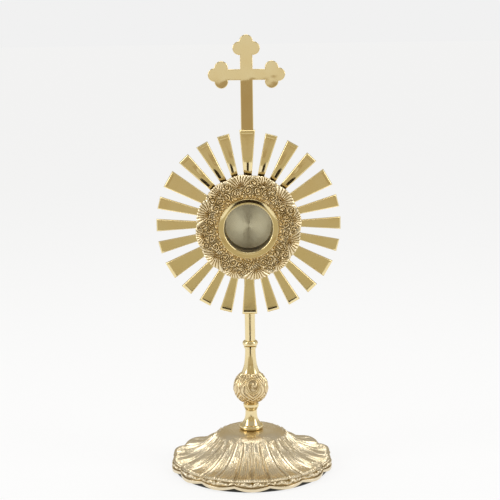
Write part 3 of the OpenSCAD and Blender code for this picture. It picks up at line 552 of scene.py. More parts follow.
low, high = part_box("foot_nut")
nut_r = max(high.x, high.y)
nut = start("nut", bpy.ops.mesh.primitive_cylinder_add, vertices=6, radius=nut_r,
            depth=high.z - low.z, location=(low + high) / 2)
mode("EDIT")
bpy.ops.transform.rotate(value=math.radians(30), orient_axis="Z", center_override=(0, 0, 0))
pick(nut, "FACE", lambda face: abs(face.normal.z) > 0.9)
bpy.ops.mesh.inset(thickness=NUT_CHAMFER, depth=NUT_CROWN)
bpy.ops.mesh.inset(thickness=nut_r - NUT_CHAMFER - NUT_BORE * tie_r)
bpy.ops.mesh.delete(type="FACE")
bpy.ops.mesh.select_all(action="DESELECT")
bpy.ops.mesh.select_mode(type="EDGE")
bpy.ops.mesh.select_non_manifold()
bpy.ops.mesh.bridge_edge_loops()
close_up()
seat(nut, steel, "foot_nut")


# Pedestal. Turned brass on the seat of the foot: a round ring, a drawn-in trumpet and a cup that
# carries the knop, polished and gold-plated.
RING_H = 3.3 * MM
TRUMPET_R = 6.5 * MM
WAIST_R = 3.8 * MM
WAIST_H = 11.5 * MM
CUP_R = 5 * MM
CUP_H = 3.2 * MM
KNOP_SEAT_R = 4.5 * MM
STEM_STEPS = 128

low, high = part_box("pedestal")
ring_round = RING_H / 2
ring_top = low.z + RING_H
waist_z = low.z + WAIST_H
rise = WAIST_H - RING_H
cup_z = high.z - CUP_H
pedestal = turned(
    "turned_pedestal",
    [(STEM_BORE_R, low.z)]
    + arc(high.x - ring_round, low.z + ring_round, ring_round, -90, 90, 14)
    + curve((TRUMPET_R, ring_top), (TRUMPET_R - rise / 4, ring_top + rise / 3),
            (WAIST_R, waist_z - rise / 2), (WAIST_R, waist_z), 24)
    + curve((WAIST_R, waist_z), (WAIST_R, cup_z), (CUP_R, cup_z), (CUP_R, cup_z + CUP_H / 2), 16)[1:]
    + [(CUP_R, high.z - (CUP_R - KNOP_SEAT_R)), (KNOP_SEAT_R, high.z),
       (STEM_BORE_R, high.z)],
    STEM_STEPS,
)

# Turned gilt brass: a soft mirror, broken up a little by the lathe and the thick plating
turned_gilt = gilding("turned_gilt_brass", "#F4E5B8", "#E8D098", roughness=0.13, grain=0.6 * MM,
                      grain_h=0.008 * MM, wave=3.5 * MM, wave_h=0.08 * MM)
seat(pedestal, turned_gilt, "pedestal")


# Knop. A hollow brass ball, cast with four oval cartouches framed by leaves, and a ring of leaf
# points round its lower half; chased, gold-plated and strung on the tie rod.
CARTOUCHES = 4
CARTOUCHE_TURN = math.radians(8)
CARTOUCHE_UP = math.radians(18)
CARTOUCHE_W = math.radians(23)
CARTOUCHE_H = math.radians(28)
KNOP_RELIEF = 0.55 * MM
KNOP_LEVEL = 0.95
LOW_PLAIN = 0.12
TOP_PLAIN = 0.1
KNOP_STEPS = 384
KNOP_RINGS = 100

# The frames, as shares of the cartouche's size, and the flower in them
FRAME_W = 0.1
INNER_FRAME = 0.76
INNER_FRAME_W = 0.06
INNER_FRAME_H = 0.7
OFF_FRAME = (1.05, 1.2)
FLOWER_W = 0.5
FLOWER_H = 0.8
PETALS = 3
PETAL_SWIRL = 6

# The leaves beside the frames: lines for each radian round, their sway and their spread
LEAF_LINES = 11
LEAF_SWAY = 2.2
LEAF_SWAYS = 4.2
LEAF_SPREAD = 3
LEAF_RATE = 2.1
LEAF_H = 0.75
LEAVES_OVER = (-0.62, -0.45)

# The two rows of leaf points: how far below the middle, in radians, and their size
LEAF_POINTS = 16
POINTS_DOWN = 0.5
LOW_POINTS_DOWN = 0.72
POINT_H = 0.2
POINT_W = 0.05
POINTS_H = 0.8
LOW_POINTS_H = 0.64
POINTS_UNDER = (-0.3, -0.42)
KNOP_PAINTED_SHADE = 0.55

low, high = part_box("knop")
knop_r = high.x
knop_mid = low.z + math.sqrt(knop_r ** 2 - KNOP_SEAT_R ** 2)
knop_start = math.asin((low.z - knop_mid) / knop_r)
knop_end = math.asin((high.z - knop_mid) / knop_r)


def leaf_knop(x, y, z):
    """Cartouche frames, curling leaves between them and zigzag leaf points below."""
    r = np.sqrt(x * x + y * y + (z - knop_mid) ** 2)
    up = np.arcsin(np.clip((z - knop_mid) / np.maximum(r, MM), -1, 1))
    over = up - CARTOUCHE_UP
    turn = np.arctan2(x, -y) - CARTOUCHE_TURN
    pitch = math.tau / CARTOUCHES
    side = turn - pitch * np.round(turn / pitch)
    oval = np.hypot(side * np.cos(up) / CARTOUCHE_W, over / CARTOUCHE_H)
    frames = bell(oval - 1, FRAME_W) + INNER_FRAME_H * bell(oval - INNER_FRAME, INNER_FRAME_W)
    flower = bell(oval, FLOWER_W) * ripple(PETALS * np.arctan2(side, over) + PETAL_SWIRL * oval)
    beside = ramp(*OFF_FRAME, oval)
    lines = np.abs(side) * LEAF_LINES + LEAF_SWAY * np.sin(LEAF_SWAYS * over) + LEAF_SPREAD * np.abs(over)
    leaves = ripple(LEAF_RATE * lines) * beside * ramp(*LEAVES_OVER, up)
    zigzag = up + POINT_H * 2 * np.abs((turn * LEAF_POINTS / math.tau) % 1 - 0.5)
    points = POINTS_H * bell(zigzag + POINTS_DOWN, POINT_W)
    points = points + LOW_POINTS_H * bell(zigzag + LOW_POINTS_DOWN, POINT_W)
    points = points * ramp(*POINTS_UNDER, up) * beside
    height = np.maximum.reduce([frames, FLOWER_H * flower, LEAF_H * leaves, points])
    shell = ramp(knop_start, knop_start + LOW_PLAIN, up) * ramp(knop_end, knop_end - TOP_PLAIN, up)
    shell = shell * (r > 0.9 * knop_r)
    scale = 1 + (height - KNOP_LEVEL) * KNOP_RELIEF * shell / np.maximum(r, MM)
    # Painted shade: a brown tone wherever the relief lies low
    tone = np.clip(KNOP_PAINTED_SHADE - height, 0, KNOP_PAINTED_SHADE) * shell
    return x * scale, y * scale, knop_mid + (z - knop_mid) * scale, tone


knop_turns = np.linspace(knop_start, knop_end, KNOP_RINGS)
knop = turned(
    "leaf_knop",
    [(STEM_BORE_R, low.z)]
    + [(knop_r * math.cos(up), knop_mid + knop_r * math.sin(up)) for up in knop_turns]
    + [(STEM_BORE_R, high.z)],
    KNOP_STEPS,
)
emboss(knop, leaf_knop)

# Chased gilt brass: brighter than the plain casting, with painted shade, a brown tone, in the lines of the
# chasing
chased_gilt = gilding("chased_gilt_brass", "#F7E6C0", "#EDD5A0", roughness=0.19, grain=0.4 * MM,
                      grain_h=0.004 * MM, wave=11 * MM, wave_h=0.03 * MM, hollow_shade="#7A5520")
seat(knop, chased_gilt, "knop", smooth=50)


# Neck and bead. Two turned pieces above the knop: a bell drawn in to the rod's width, and a round
# collar on a small step, both polished and gold-plated.
NECK_FOOT_R = 5.75 * MM
NECK_TOP_R = 3.4 * MM
BEAD_STEP_R = 4.1 * MM
BEAD_STEP_H = 1.3 * MM

low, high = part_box("neck")
neck_h = high.z - low.z
neck = turned(
    "turned_neck",
    [(STEM_BORE_R, low.z)]
    + curve((NECK_FOOT_R, low.z),
            (NECK_TOP_R + (NECK_FOOT_R - NECK_TOP_R) / 3, low.z + neck_h / 4),
            (NECK_TOP_R, low.z + neck_h / 2), (NECK_TOP_R, high.z), 30)
    + [(STEM_BORE_R, high.z)],
    STEM_STEPS,
)
seat(neck, turned_gilt, "neck")

low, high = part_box("bead")
bead_step = low.z + BEAD_STEP_H
bead_round = (high.z - bead_step) / 2
bead = turned(
    "collar_bead",
    [(STEM_BORE_R, low.z), (BEAD_STEP_R - EDGE, low.z), (BEAD_STEP_R, low.z + EDGE),
     (BEAD_STEP_R, bead_step)]
    + arc(high.x - bead_round, bead_step + bead_round, bead_round, -90, 90, 18)
    + [(STEM_BORE_R, high.z)],
    STEM_STEPS,
)
seat(bead, turned_gilt, "bead")


# Upper rod and its screws. A round rod, its top milled flat on two sides to lap behind the bottom
# ray, and two slotted screws from the back that hold it there.
ROD_ROUND_L = 18 * MM
ROD_STEPS = 96
RAY_BACK = 1.5 * MM
LAP_T = 3.4 * MM
SCREW_R = 1.2 * MM
SCREW_HEAD_R = 2.2 * MM
SCREW_HEAD_H = 1.4 * MM
SCREW_FRONT = 3 * MM
HEAD_DOME = 2.2
HEAD_DOME_DEG = 24
SLOT_W = 0.7 * MM
SLOT_DEPTH = 0.7 * MM

low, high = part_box("stem_rod")
lap_back = LAP_T - RAY_BACK
rod = start("upper_rod", bpy.ops.mesh.primitive_cylinder_add, vertices=ROD_STEPS, radius=high.x,
            depth=ROD_ROUND_L, location=(0, 0, low.z + ROD_ROUND_L / 2))
pick(rod, "FACE", lambda face: face.normal.z > 0.9)
bpy.ops.mesh.extrude_region_move()
mode("OBJECT")
for vertex in rod.data.vertices:
    if vertex.select:
        vertex.co.y = min(max(vertex.co.y, -RAY_BACK), lap_back)
mode("EDIT")
lap_l = high.z - low.z - ROD_ROUND_L
bpy.ops.mesh.extrude_region_move(TRANSFORM_OT_translate={"value": (0, 0, lap_l)})
close_up()
seat(rod, turned_gilt, "stem_rod", smooth=20)


def slotted_screw(name, centre, shank_r, shank_front, head_r, head_back, head_h):
    """A round-headed screw that goes in from the back; distances run forward from the plate's back."""
    dome_r = HEAD_DOME * head_r
    dome = arc(0, dome_r - head_back - head_h, dome_r, -90, HEAD_DOME_DEG - 90, 6)
    outline = dome + [(head_r, dome[-1][1] + head_r - dome[-1][0]), (head_r, -head_back),
                      (shank_r, -head_back), (shank_r, shank_front), (0, shank_front)]
    screw = turned(name, outline, TURN_STEPS, centre)
    saw = start("saw", bpy.ops.mesh.primitive_cube_add, size=1,
                location=centre + Vector((0, head_back + head_h, 0)),
                scale=(3 * head_r, 2 * SLOT_DEPTH, SLOT_W))
    cut = screw.modifiers.new("slot", "BOOLEAN")
    cut.operation = "DIFFERENCE"
    cut.object = saw
    bpy.context.view_layer.objects.active = screw
    bpy.ops.object.modifier_apply(modifier=cut.name)
    bpy.data.objects.remove(saw)
    return screw


def join(name, pieces):
    """Makes one piece out of several."""
    bpy.ops.object.select_all(action="DESELECT")
    for piece in pieces:
        piece.select_set(True)
    bpy.context.view_layer.objects.active = pieces[0]
    bpy.ops.object.join()
    pieces[0].name = pieces[0].data.name = name
    return pieces[0]


low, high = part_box("rod_screws")
rod_screws = join("rod_screw_pair", [
    slotted_screw("screw", Vector((0, 0, z)), SCREW_R, SCREW_FRONT, SCREW_HEAD_R, lap_back, SCREW_HEAD_H)
    for z in (low.z + SCREW_HEAD_R, high.z - SCREW_HEAD_R)
])
seat(rod_screws, steel, "rod_screws")


# Ray plate. A round brass plate with a thicker hub, turned in one piece and gold-plated; the rays are
# brazed to its face, and the theca sits in the hole in its middle.
WEB_T = 1.5 * MM
HUB_R = 27 * MM
PLATE_HOLE_R = 19.85 * MM
PLATE_STEPS = 160

low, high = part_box("ray_plate")
glory = Vector((0, 0, (low.z + high.z) / 2))
web_r = high.x
ray_front = -low.y
ray_plate = turned("hub_plate", [
    (PLATE_HOLE_R, 0), (web_r - EDGE, 0), (web_r, EDGE), (web_r, WEB_T), (HUB_R, WEB_T),
    (HUB_R, ray_front), (PLATE_HOLE_R, ray_front),
], PLATE_STEPS, glory)

# Polished gilt brass: a near mirror of pale gold, with the slow unevenness of a buffing wheel
polished_gilt = gilding("polished_gilt_brass", "#F6E7B8", "#EED79C", roughness=0.1, grain=0.35 * MM,
                        grain_h=0.0012 * MM, wave=8 * MM, wave_h=0.05 * MM)
seat(ray_plate, polished_gilt, "ray_plate")


# Rays. Twenty-four flat brass bars, each tapered to the hub, its face rounded over at the sides and the
# outer end, the upper ones dipping in a soft ridge to their roots; polished, gilt and brazed on.
RAY_COUNT = 24
GLORY_R = 58.4 * MM
TOP_RAY_R = 59.6 * MM
NARROW_W = 7.8 * MM
DIAGONAL_W = 11.4 * MM
UPRIGHT_W = 9.6 * MM
RAY_ROUND = 0.7 * MM
END_EASE = 2.6 * MM
END_FALL = 0.4 * MM
END_STATIONS = 6
ROOT_START_R = 43 * MM
WREATH_EDGE_R = 32 * MM
ROOT_FALL = 2.2 * MM
ROOT_EVEN = 0.5
ROOT_POWER = 1.6
ROOT_MOST = 1.5
MOST_DROP = 0.8
RIDGE_TILT = 0.16
RIDGE_ROUND = 0.2
UPPER_RAYS = 0.6
RAY_STATIONS = [(27.5 + 1.1 * i) * MM for i in range(26)]
RAY_LINES = (-0.7, -0.5, -0.3, -0.2, -0.1, 0, 0.1, 0.2, 0.3, 0.5, 0.7)


def ray(width, reach, dips):
    """One ray that stands straight up from the hub, made from a block and cut across at stations and
    along lines. The root of one that dips falls towards the wreath."""
    bar = start("ray", bpy.ops.mesh.primitive_cube_add, size=1)
    slope = width / 2 / GLORY_R
    for vertex in bar.data.vertices:
        r = reach if vertex.co.z > 0 else HUB_R
        side = math.copysign(r * slope, vertex.co.x)
        vertex.co = (side, -RAY_BACK if vertex.co.y > 0 else -ray_front, glory.z + r)

    def on_face(edge):
        ends = [bar.data.vertices[i].co for i in edge.vertices]
        at_root = all(end.z < glory.z + HUB_R + WELD for end in ends)
        return all(end.y < WELD - ray_front for end in ends) and not at_root

    pick(bar, "EDGE", on_face)
    bpy.ops.mesh.bevel(offset=RAY_ROUND, segments=5, affect="EDGES", profile=0.5)
    end_stations = [reach - END_EASE * i / END_STATIONS for i in range(2, END_STATIONS + 1)]
    cuts = [((0, 0, glory.z + r), (0, 0, 1)) for r in RAY_STATIONS + end_stations]
    cuts += [(glory, (1, 0, -line * slope)) for line in RAY_LINES]
    for place, facing in cuts:
        bpy.ops.mesh.select_all(action="SELECT")
        bpy.ops.mesh.bisect(plane_co=place, plane_no=facing)
    close_up()
    for vertex in bar.data.vertices:
        r = vertex.co.z - glory.z
        drop = END_FALL * (max(r - reach + END_EASE, 0) / END_EASE) ** 2
        if dips:
            root = min(max((ROOT_START_R - r) / (ROOT_START_R - WREATH_EDGE_R), 0), ROOT_MOST)
            steady = ROOT_POWER * ROOT_EVEN ** (ROOT_POWER - 1) * max(root - ROOT_EVEN, 0)
            drop += ROOT_FALL * (min(root, ROOT_EVEN) ** ROOT_POWER + steady)
            ridge = RIDGE_TILT * r * slope * float(ramp(GLORY_R - END_EASE, ROOT_START_R, r))
            drop += ridge * (math.hypot(vertex.co.x / (r * slope), RIDGE_ROUND) - RIDGE_ROUND)
        raised = (-vertex.co.y - RAY_BACK) / (ray_front - RAY_BACK)
        vertex.co.y += min(drop, (ray_front - RAY_BACK) * MOST_DROP) * raised
    return bar


def ray_width(i):
    """Width at the outer end: the top and bottom rays, the four diagonals, or the narrow ones."""
    if i % (RAY_COUNT // 2) == 0:
        return UPRIGHT_W
    return DIAGONAL_W if i % 4 == 0 else NARROW_W


ray_angles = [2 * math.atan(ray_width(i) / 2 / GLORY_R) for i in range(RAY_COUNT)]
ray_gap = (math.tau - sum(ray_angles)) / RAY_COUNT
narrow_set, wide_set = [], []
for i, angle in enumerate(ray_angles):
    turn = sum(ray_angles[:i]) + (angle - ray_angles[0]) / 2 + i * ray_gap
    bar = ray(ray_width(i), GLORY_R if i else TOP_RAY_R, math.cos(turn) > UPPER_RAYS)
    spin = Matrix.Translation(glory) @ Matrix.Rotation(turn, 4, "Y") @ Matrix.Translation(-glory)
    bar.data.transform(spin)
    (narrow_set if ray_width(i) == NARROW_W else wide_set).append(bar)
seat(join("narrow_ray_set", narrow_set), polished_gilt, "narrow_rays", flat_faces=True)
seat(join("wide_ray_set", wide_set), polished_gilt, "wide_rays", flat_faces=True)


# Wreath. A domed brass ring stamped in high relief with shells, scrolls and curls, chased and
# gold-plated; it lies over the roots of the rays and round the theca.
SHELLS = 6
SHELL_TURN = math.radians(-10)
LIP_T = 2.4 * MM
LIP_R = 19 * MM
WREATH_HOLE_R = 18.05 * MM
WREATH_RISE = 0.9 * MM
WREATH_RELIEF = 1.3 * MM
WREATH_SCALLOP = 0.9 * MM
EDGE_NOTCH = 0.35
NOTCHES_PER_SHELL = 7
WREATH_STEPS = 960
WREATH_RINGS = 92

# How far the hand strays on scrolls and on shells, how deep leaves cut into a scroll, and how uneven
# the curls are
HAND_CUT = 0.4 * MM
SHELL_CUT = 0.15 * MM
LEAF_CUT = 0.55
LEAVES_PER_COIL = 3.5
CURLS_VARY = 0.2

# Where each form begins or ends, as shares of its own size or of the way out over the ring
SHELL_SIDES = (1.06, 0.94)
SHELL_ROOT = (0.02, 0.2)
SHELL_FALL = 0.25
RIB_SHARPNESS = 0.9
COIL_LEAVES = (0.45, 0.9)
COIL_END = (1.08, 0.96)
EYE_W = 0.5
FACE_BEGINS = (-0.01, 0.01)
DOME_FALLS = (1, 0.7)
LOWER_AT_EDGE = (1, 0.95)
SCALLOP_POWER = 6
# Where the painted shade lies: low in the relief, and from a little way out over the ring
WREATH_SHADE_BELOW = (0.4, 0.06)
WREATH_SHADE_BEGINS = (-0.1, 0.3)

# Shells: radius of the root in mm, number of ribs, and half of the spread in degrees
FRONT_SHELL = (25.0, 9, 60)
SIDE_SHELL = (27.4, 7, 52)

# Scrolls: radius of the eye in mm, its turn from a shell in degrees, size in mm, windings and hand
SCROLLS = [(24.0, 11.5, 2.8, 2.1, 1), (24.2, 24.5, 2.5, 1.9, -1), (28.9, 17.0, 2.4, 1.8, -1)]

# Rings of small curls: radius in mm, number, start in radians, size in mm and windings
CURL_RINGS = [(20.6, 60, 0, 0.95, 0.8), (22.3, 54, 0.03, 1.3, 1.1), (26.4, 60, 0.05, 1.4, 1.2),
              (28.9, 66, 0.01, 1.4, 1.2), (31.3, 72, 0.02, 1.4, 1.2), (33.4, 78, 0.04, 1.3, 1.0)]
GROUND_LINES = 126
WREATH_PAINTED_SHADE = 0.55

bezel_low, bezel_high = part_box("bezel")
theca = Vector((0, 0, (bezel_low.z + bezel_high.z) / 2))
wreath_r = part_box("wreath")[1].z - theca.z
lip_front = ray_front + LIP_T


def seen_from(r, turn, eye_r, eye_turn):
    """Place on the wreath as seen from an eye: across and outwards, in mm."""
    return r * np.sin(turn - eye_turn) / MM, (r * np.cos(turn - eye_turn) - eye_r) / MM


def fan(r, turn, eye_turn, root_mm, ribs, half_deg):
    """A scallop shell that spreads outwards from its root: its height, and where it lies."""
    across, out = seen_from(r, turn, root_mm * MM, eye_turn)
    spread = np.arctan2(across, out) / math.radians(half_deg)
    reach = np.hypot(across, out) / (wreath_r / MM - root_mm)
    rib = np.abs(np.cos(spread * ribs * math.pi / 2)) ** RIB_SHARPNESS
    inside = ramp(*SHELL_SIDES, np.abs(spread)) * ramp(*SHELL_ROOT, reach)
    return rib * inside * (1 - SHELL_FALL * reach ** 2), inside


def scroll(r, turn, eye_mm, eye_turn, size, windings, hand):
    """A coiled scroll, its band wound round an eye: its height, and where it lies."""
    across, out = seen_from(r, turn, eye_mm * MM, eye_turn)
    reach = np.hypot(across, out) / size
    coil = np.arctan2(across, out)
    leaves = ramp(*COIL_LEAVES, reach) * np.cos(LEAVES_PER_COIL * coil) ** 2
    band = ripple(math.tau * windings * reach - hand * coil) * (1 - LEAF_CUT * leaves)
    inside = ramp(*COIL_END, reach)
    return np.maximum(band * inside, bell(reach * size, EYE_W)), inside


def curls(r, turn, ring_mm, count, begin, size, windings):
    """A ring of small scrolls, every other one wound the other way."""
    pitch = math.tau / count
    step = np.round((turn - begin) / pitch)
    hand = np.where(step % 2 == 0, 1, -1)
    uneven = 1 + CURLS_VARY * np.sin(step * UNEVEN_STEP + ring_mm)
    return scroll(r, turn - begin - step * pitch, ring_mm, 0, size * uneven, windings, hand)


def stamped_wreath(x, y, z):
    """Shells, scrolls and small curls on the face; the edge is scalloped, the back stays flat."""
    up, forward = z - theca.z, -y
    true_r = np.hypot(x, up)
    true_turn = np.arctan2(x, up) - SHELL_TURN
    in_out = np.sin(true_turn * 23 + 1.7 * np.sin(true_r / MM * 0.8))
    sideways = np.sin(true_r / MM * 1.05 + 2.3 * np.sin(true_turn * 9)) / true_r
    r = true_r + HAND_CUT * in_out
    turn = true_turn + HAND_CUT * sideways
    shell_turn = true_turn + SHELL_CUT * sideways
    pitch = math.tau / SHELLS
    fold = np.abs(turn - pitch * np.round(turn / pitch))
    shell_side = shell_turn - pitch * np.round(shell_turn / pitch)
    layers = [fan(true_r, shell_side, 0, *FRONT_SHELL)]
    layers += [fan(true_r, np.abs(shell_side), pitch / 2, *SIDE_SHELL)]
    layers += [scroll(r, fold, eye, math.radians(deg), *coil) for eye, deg, *coil in SCROLLS]
    layers += [curls(r, turn, *ring) for ring in CURL_RINGS]
    height = 0.5 * ripple(turn * GROUND_LINES + 2 * np.sin(r / MM * 1.3))
    taken = np.zeros_like(r)
    for layer, inside in layers:
        height = height * (1 - inside * (1 - taken)) + layer * (1 - taken)
        taken = np.maximum(taken, inside)

    share = np.clip((true_r - LIP_R) / (wreath_r - LIP_R), 0, 1)
    face = (forward > lip_front - WELD) * ramp(*FACE_BEGINS, share)
    relief = WREATH_RELIEF * height * (0.5 + 0.5 * ramp(*LOWER_AT_EDGE, share))
    lift = (WREATH_RISE * ramp(*DOME_FALLS, share) + relief) * face
    scallop = 1 - np.abs(np.cos(true_turn * SHELLS))
    notch = EDGE_NOTCH * (1 - np.abs(np.cos(turn * SHELLS * NOTCHES_PER_SHELL)))
    scale = (true_r - WREATH_SCALLOP * (scallop + notch) * share ** SCALLOP_POWER) / np.maximum(true_r, MM)
    # Painted shade: a brown tone deep between the scrolls, where the relief lies low
    tone = WREATH_PAINTED_SHADE * ramp(*WREATH_SHADE_BELOW, height) * face * ramp(*WREATH_SHADE_BEGINS, share)
    return x * scale, -(forward + lift), theca.z + up * scale, tone


wreath = turned(
    "shell_wreath",
    [(WREATH_HOLE_R, ray_front), (wreath_r, ray_front), (wreath_r, ray_front + LIP_T / 2)]
    + [(float(r), lip_front) for r in np.linspace(wreath_r, LIP_R, WREATH_RINGS)]
    + [(LIP_R - 2 * EDGE, lip_front + EDGE), (WREATH_HOLE_R + EDGE, lip_front + EDGE),
       (WREATH_HOLE_R, lip_front)],
    WREATH_STEPS, theca,
)
emboss(wreath, stamped_wreath)

# Stamped gilt brass: bright on the raised relief, with painted shade, a brown tone, and a duller gloss deep
# between the scrolls
stamped_gilt = gilding("stamped_gilt_brass", "#F6E9CC", "#E9D6AA", roughness=0.15, grain=0.4 * MM,
                       grain_h=0.004 * MM, wave=8 * MM, wave_h=0.02 * MM, hollow_shade="#3A2A10")
seat(wreath, stamped_gilt, "wreath", smooth=60)


# Cross. Sawn from brass plate with three round buds on each free arm, its edges eased with a file,
# polished and gold-plated; a tang laps behind the top ray and is riveted there.
CROSS_SPAN = 48.2 * MM
SHAFT_W = 7.8 * MM
ARM_W = 6.8 * MM
ARM_DROP = 0.6 * MM
BUD_R = 4.2 * MM
BUD_SIDE = 4.3 * MM
BUD_STEP = 4.2 * MM
CROSS_ROUND = 0.5 * MM
CROSS_ROUND_STEPS = 5
TANG_W = 5 * MM
TANG_T = 1.8 * MM
TANG_L = 18 * MM

low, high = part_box("cross")
cross_back = -high.y
shaft_foot = glory.z + TOP_RAY_R
arm_z = high.z - CROSS_SPAN / 2 - ARM_DROP


def arm_outline(reach, width):
    """An arm's outline from its bar's edge round its three buds to the other edge: along and across."""
    tip = reach - BUD_R
    gap = math.hypot(BUD_STEP, BUD_SIDE)
    lean = math.degrees(math.atan2(BUD_SIDE, -BUD_STEP))
    meet = math.degrees(math.acos(gap / 2 / BUD_R))
    begin = 180 + math.degrees(math.asin((BUD_SIDE - width / 2) / BUD_R))
    half = arc(tip - BUD_STEP, BUD_SIDE, BUD_R, begin, lean - 180 + meet, 26)
    half += arc(tip, 0, BUD_R, lean - meet, 0, 16)[1:]
    return half + [(x, -y) for x, y in reversed(half[:-1])]


def sawn(name, places, thick, eased):
    """A piece sawn from plate: its outline is filled, drawn out along Y by its signed thickness, and its
    far edge rounded in steps, each so far in and so far up."""
    piece = trace(name, places)
    bpy.ops.mesh.edge_face_add()
    facing = math.copysign(1, thick)
    wall = thick - facing * sum(rise for inset, rise in eased)
    bpy.ops.mesh.extrude_region_move(TRANSFORM_OT_translate={"value": (0, wall, 0)})
    for inset, rise in eased:
        bpy.ops.mesh.inset(thickness=inset, depth=0)
        bpy.ops.transform.translate(value=(0, facing * rise, 0))
    close_up()
    return piece


def strip(low, high, ease):
    """A flat piece of strip with softened edges, between two corners."""
    bar = start("strip", bpy.ops.mesh.primitive_cube_add, size=1, location=(low + high) / 2,
                scale=high - low)
    mode("EDIT")
    bpy.ops.mesh.bevel(offset=ease, segments=2, affect="EDGES")
    mode("OBJECT")
    return bar


side_arm = arm_outline(CROSS_SPAN / 2, ARM_W)
corner_x, corner_z = SHAFT_W / 2, ARM_W / 2
cross_outline = (
    [(-y, arm_z + x) for x, y in arm_outline(CROSS_SPAN / 2 + ARM_DROP, SHAFT_W)]
    + [(corner_x, arm_z + corner_z)]
    + [(x, arm_z + y) for x, y in side_arm]
    + [(corner_x, arm_z - corner_z), (corner_x, shaft_foot), (-corner_x, shaft_foot),
       (-corner_x, arm_z - corner_z)]
    + [(-x, arm_z - y) for x, y in side_arm]
    + [(-corner_x, arm_z + corner_z)]
)
round_turns = np.linspace(0, math.pi / 2, CROSS_ROUND_STEPS + 1)
cross_eased = [
    (CROSS_ROUND * (math.cos(a) - math.cos(b)), CROSS_ROUND * (math.sin(b) - math.sin(a)))
    for a, b in zip(round_turns, round_turns[1:])
]
cross_plate = sawn("cross_plate", [Vector((x, -cross_back, z)) for x, z in cross_outline],
                   low.y + cross_back, cross_eased)
tang = strip(Vector((-TANG_W / 2, -cross_back - TANG_T, shaft_foot - TANG_L)),
             Vector((TANG_W / 2, -cross_back, shaft_foot)), EDGE)
cross = join("budded_cross", [cross_plate, tang])

# Buffed gilt brass: the mirror of the turned pieces on a flat face, which the buffing left wavy
buffed_gilt = gilding("buffed_gilt_brass", "#F6E6BA", "#EED69E", roughness=0.03, grain=0.35 * MM,
                      grain_h=0.0004 * MM, wave=16 * MM, wave_h=0.07 * MM)
seat(cross, buffed_gilt, "cross", smooth=40, flat_faces=True)


# Cross rivets. Two brass rivets, hammered over behind the tang to a low dome and gold-plated with it;
# they go through the tang into the top ray.
RIVET_R = 0.9 * MM
RIVET_HEAD_R = 1.6 * MM
RIVET_HEAD_H = 0.8 * MM
RIVET_FRONT = 3 * MM
low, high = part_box("cross_rivets")
rivet_dome = (RIVET_HEAD_R ** 2 + RIVET_HEAD_H ** 2) / 2 / RIVET_HEAD_H
dome_half = math.degrees(math.asin(RIVET_HEAD_R / rivet_dome))
rivet_outline = (
    arc(0, cross_back - RIVET_HEAD_H + rivet_dome, rivet_dome, -90, dome_half - 90, 8)
    + [(RIVET_R, cross_back), (RIVET_R, RIVET_FRONT), (0, RIVET_FRONT)]
)
rivets = join("tang_rivets", [
    turned("rivet", rivet_outline, TURN_STEPS, Vector((0, 0, z)))
    for z in (low.z + RIVET_HEAD_R, high.z - RIVET_HEAD_R)
])
seat(rivets, polished_gilt, "cross_rivets")


# Theca case. A turned brass case that fits through the plate: a neck for the glass and bezel at the
# front, a body and a wide flange at the back, with a small boss for the latch.
BORE_R = 15.85 * MM
CASE_NECK_R = 17.95 * MM
BODY_R = 20.95 * MM
FLANGE_R = 27 * MM
FLANGE_T = 1.8 * MM
FLANGE_BACK = 8 * MM
BOSS_R = 2.2 * MM
THECA_STEPS = 160

joint_places = {joint["name"]: Vector(joint["pos_m"]) for joint in frame["joints"]}
latch = Vector((joint_places["latch_turn"].x, 0, theca.z))


def level_box(node):
    """Radius, back and front of a piece turned on the theca's axis; distances run forward."""
    low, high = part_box(node)
    return high.x, -high.y, -low.y


seal_r, neck_front, seal_front = level_box("glass_seal")
flange_front = FLANGE_T - FLANGE_BACK
boss_back = -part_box("theca_case")[1].y
boss_front = FLANGE_T / 2 - FLANGE_BACK
case_shell = turned("case_shell", [
    (BORE_R, -FLANGE_BACK), (FLANGE_R - EDGE, -FLANGE_BACK), (FLANGE_R, EDGE - FLANGE_BACK),
    (FLANGE_R, flange_front - EDGE), (FLANGE_R - EDGE, flange_front), (BODY_R, flange_front), (BODY_R, 0),
    (CASE_NECK_R, 0), (CASE_NECK_R, neck_front), (BORE_R, neck_front),
], THECA_STEPS, theca)
boss = turned("boss", [
    (0, boss_back), (BOSS_R - EDGE, boss_back), (BOSS_R, boss_back + EDGE), (BOSS_R, boss_front),
    (0, boss_front),
], TURN_STEPS, latch)
case = join("theca_case_shell", [case_shell, boss])
seat(case, polished_gilt, "theca_case")

# Dull brass: the bore inside the case was never plated; its brown, dim tone is also painted shade for the
# inside of the case
shaded_bore_brass, tree, shader, place, patina = mottled("shaded_bore_brass", "#B5A27A", "#8A7650", 3 * MM, 5)
gloss = add(tree, "MapRange", "Result", {"Value": patina, "To Min": 0.35, "To Max": 0.55})
fill(shader, {"Metallic": 1, "Roughness": gloss})
case.data.materials.append(shaded_bore_brass)
for face in case.data.polygons:
    middle = face.center - theca
    in_bore = math.hypot(middle.x, middle.z) < BORE_R + EDGE and abs(face.normal.y) < 0.5
    face.material_index = int(in_bore)


# Glass seal. A thin black rubber ring, punched from sheet, that the glass beds on in front of the
# case's neck.
SEAL_ROUND = 0.1 * MM
glass_seal = turned("seal_ring", [
    (BORE_R, neck_front), (seal_r, neck_front), (seal_r, seal_front - SEAL_ROUND),
    (seal_r - SEAL_ROUND, seal_front), (BORE_R, seal_front),
], THECA_STEPS, theca)

# Black rubber: matt, with a faint bloom
rubber, tree, shader, place, bloom = mottled("black_rubber", "#161514", "#2C2A28", 2 * MM, 4)
pores = add(tree, "Bump", "Normal", {"Height": bloom, "Strength": 0.3, "Distance": 0.02 * MM})
fill(shader, {"Roughness": 0.7, "Normal": pores})
seat(glass_seal, rubber, "glass_seal")


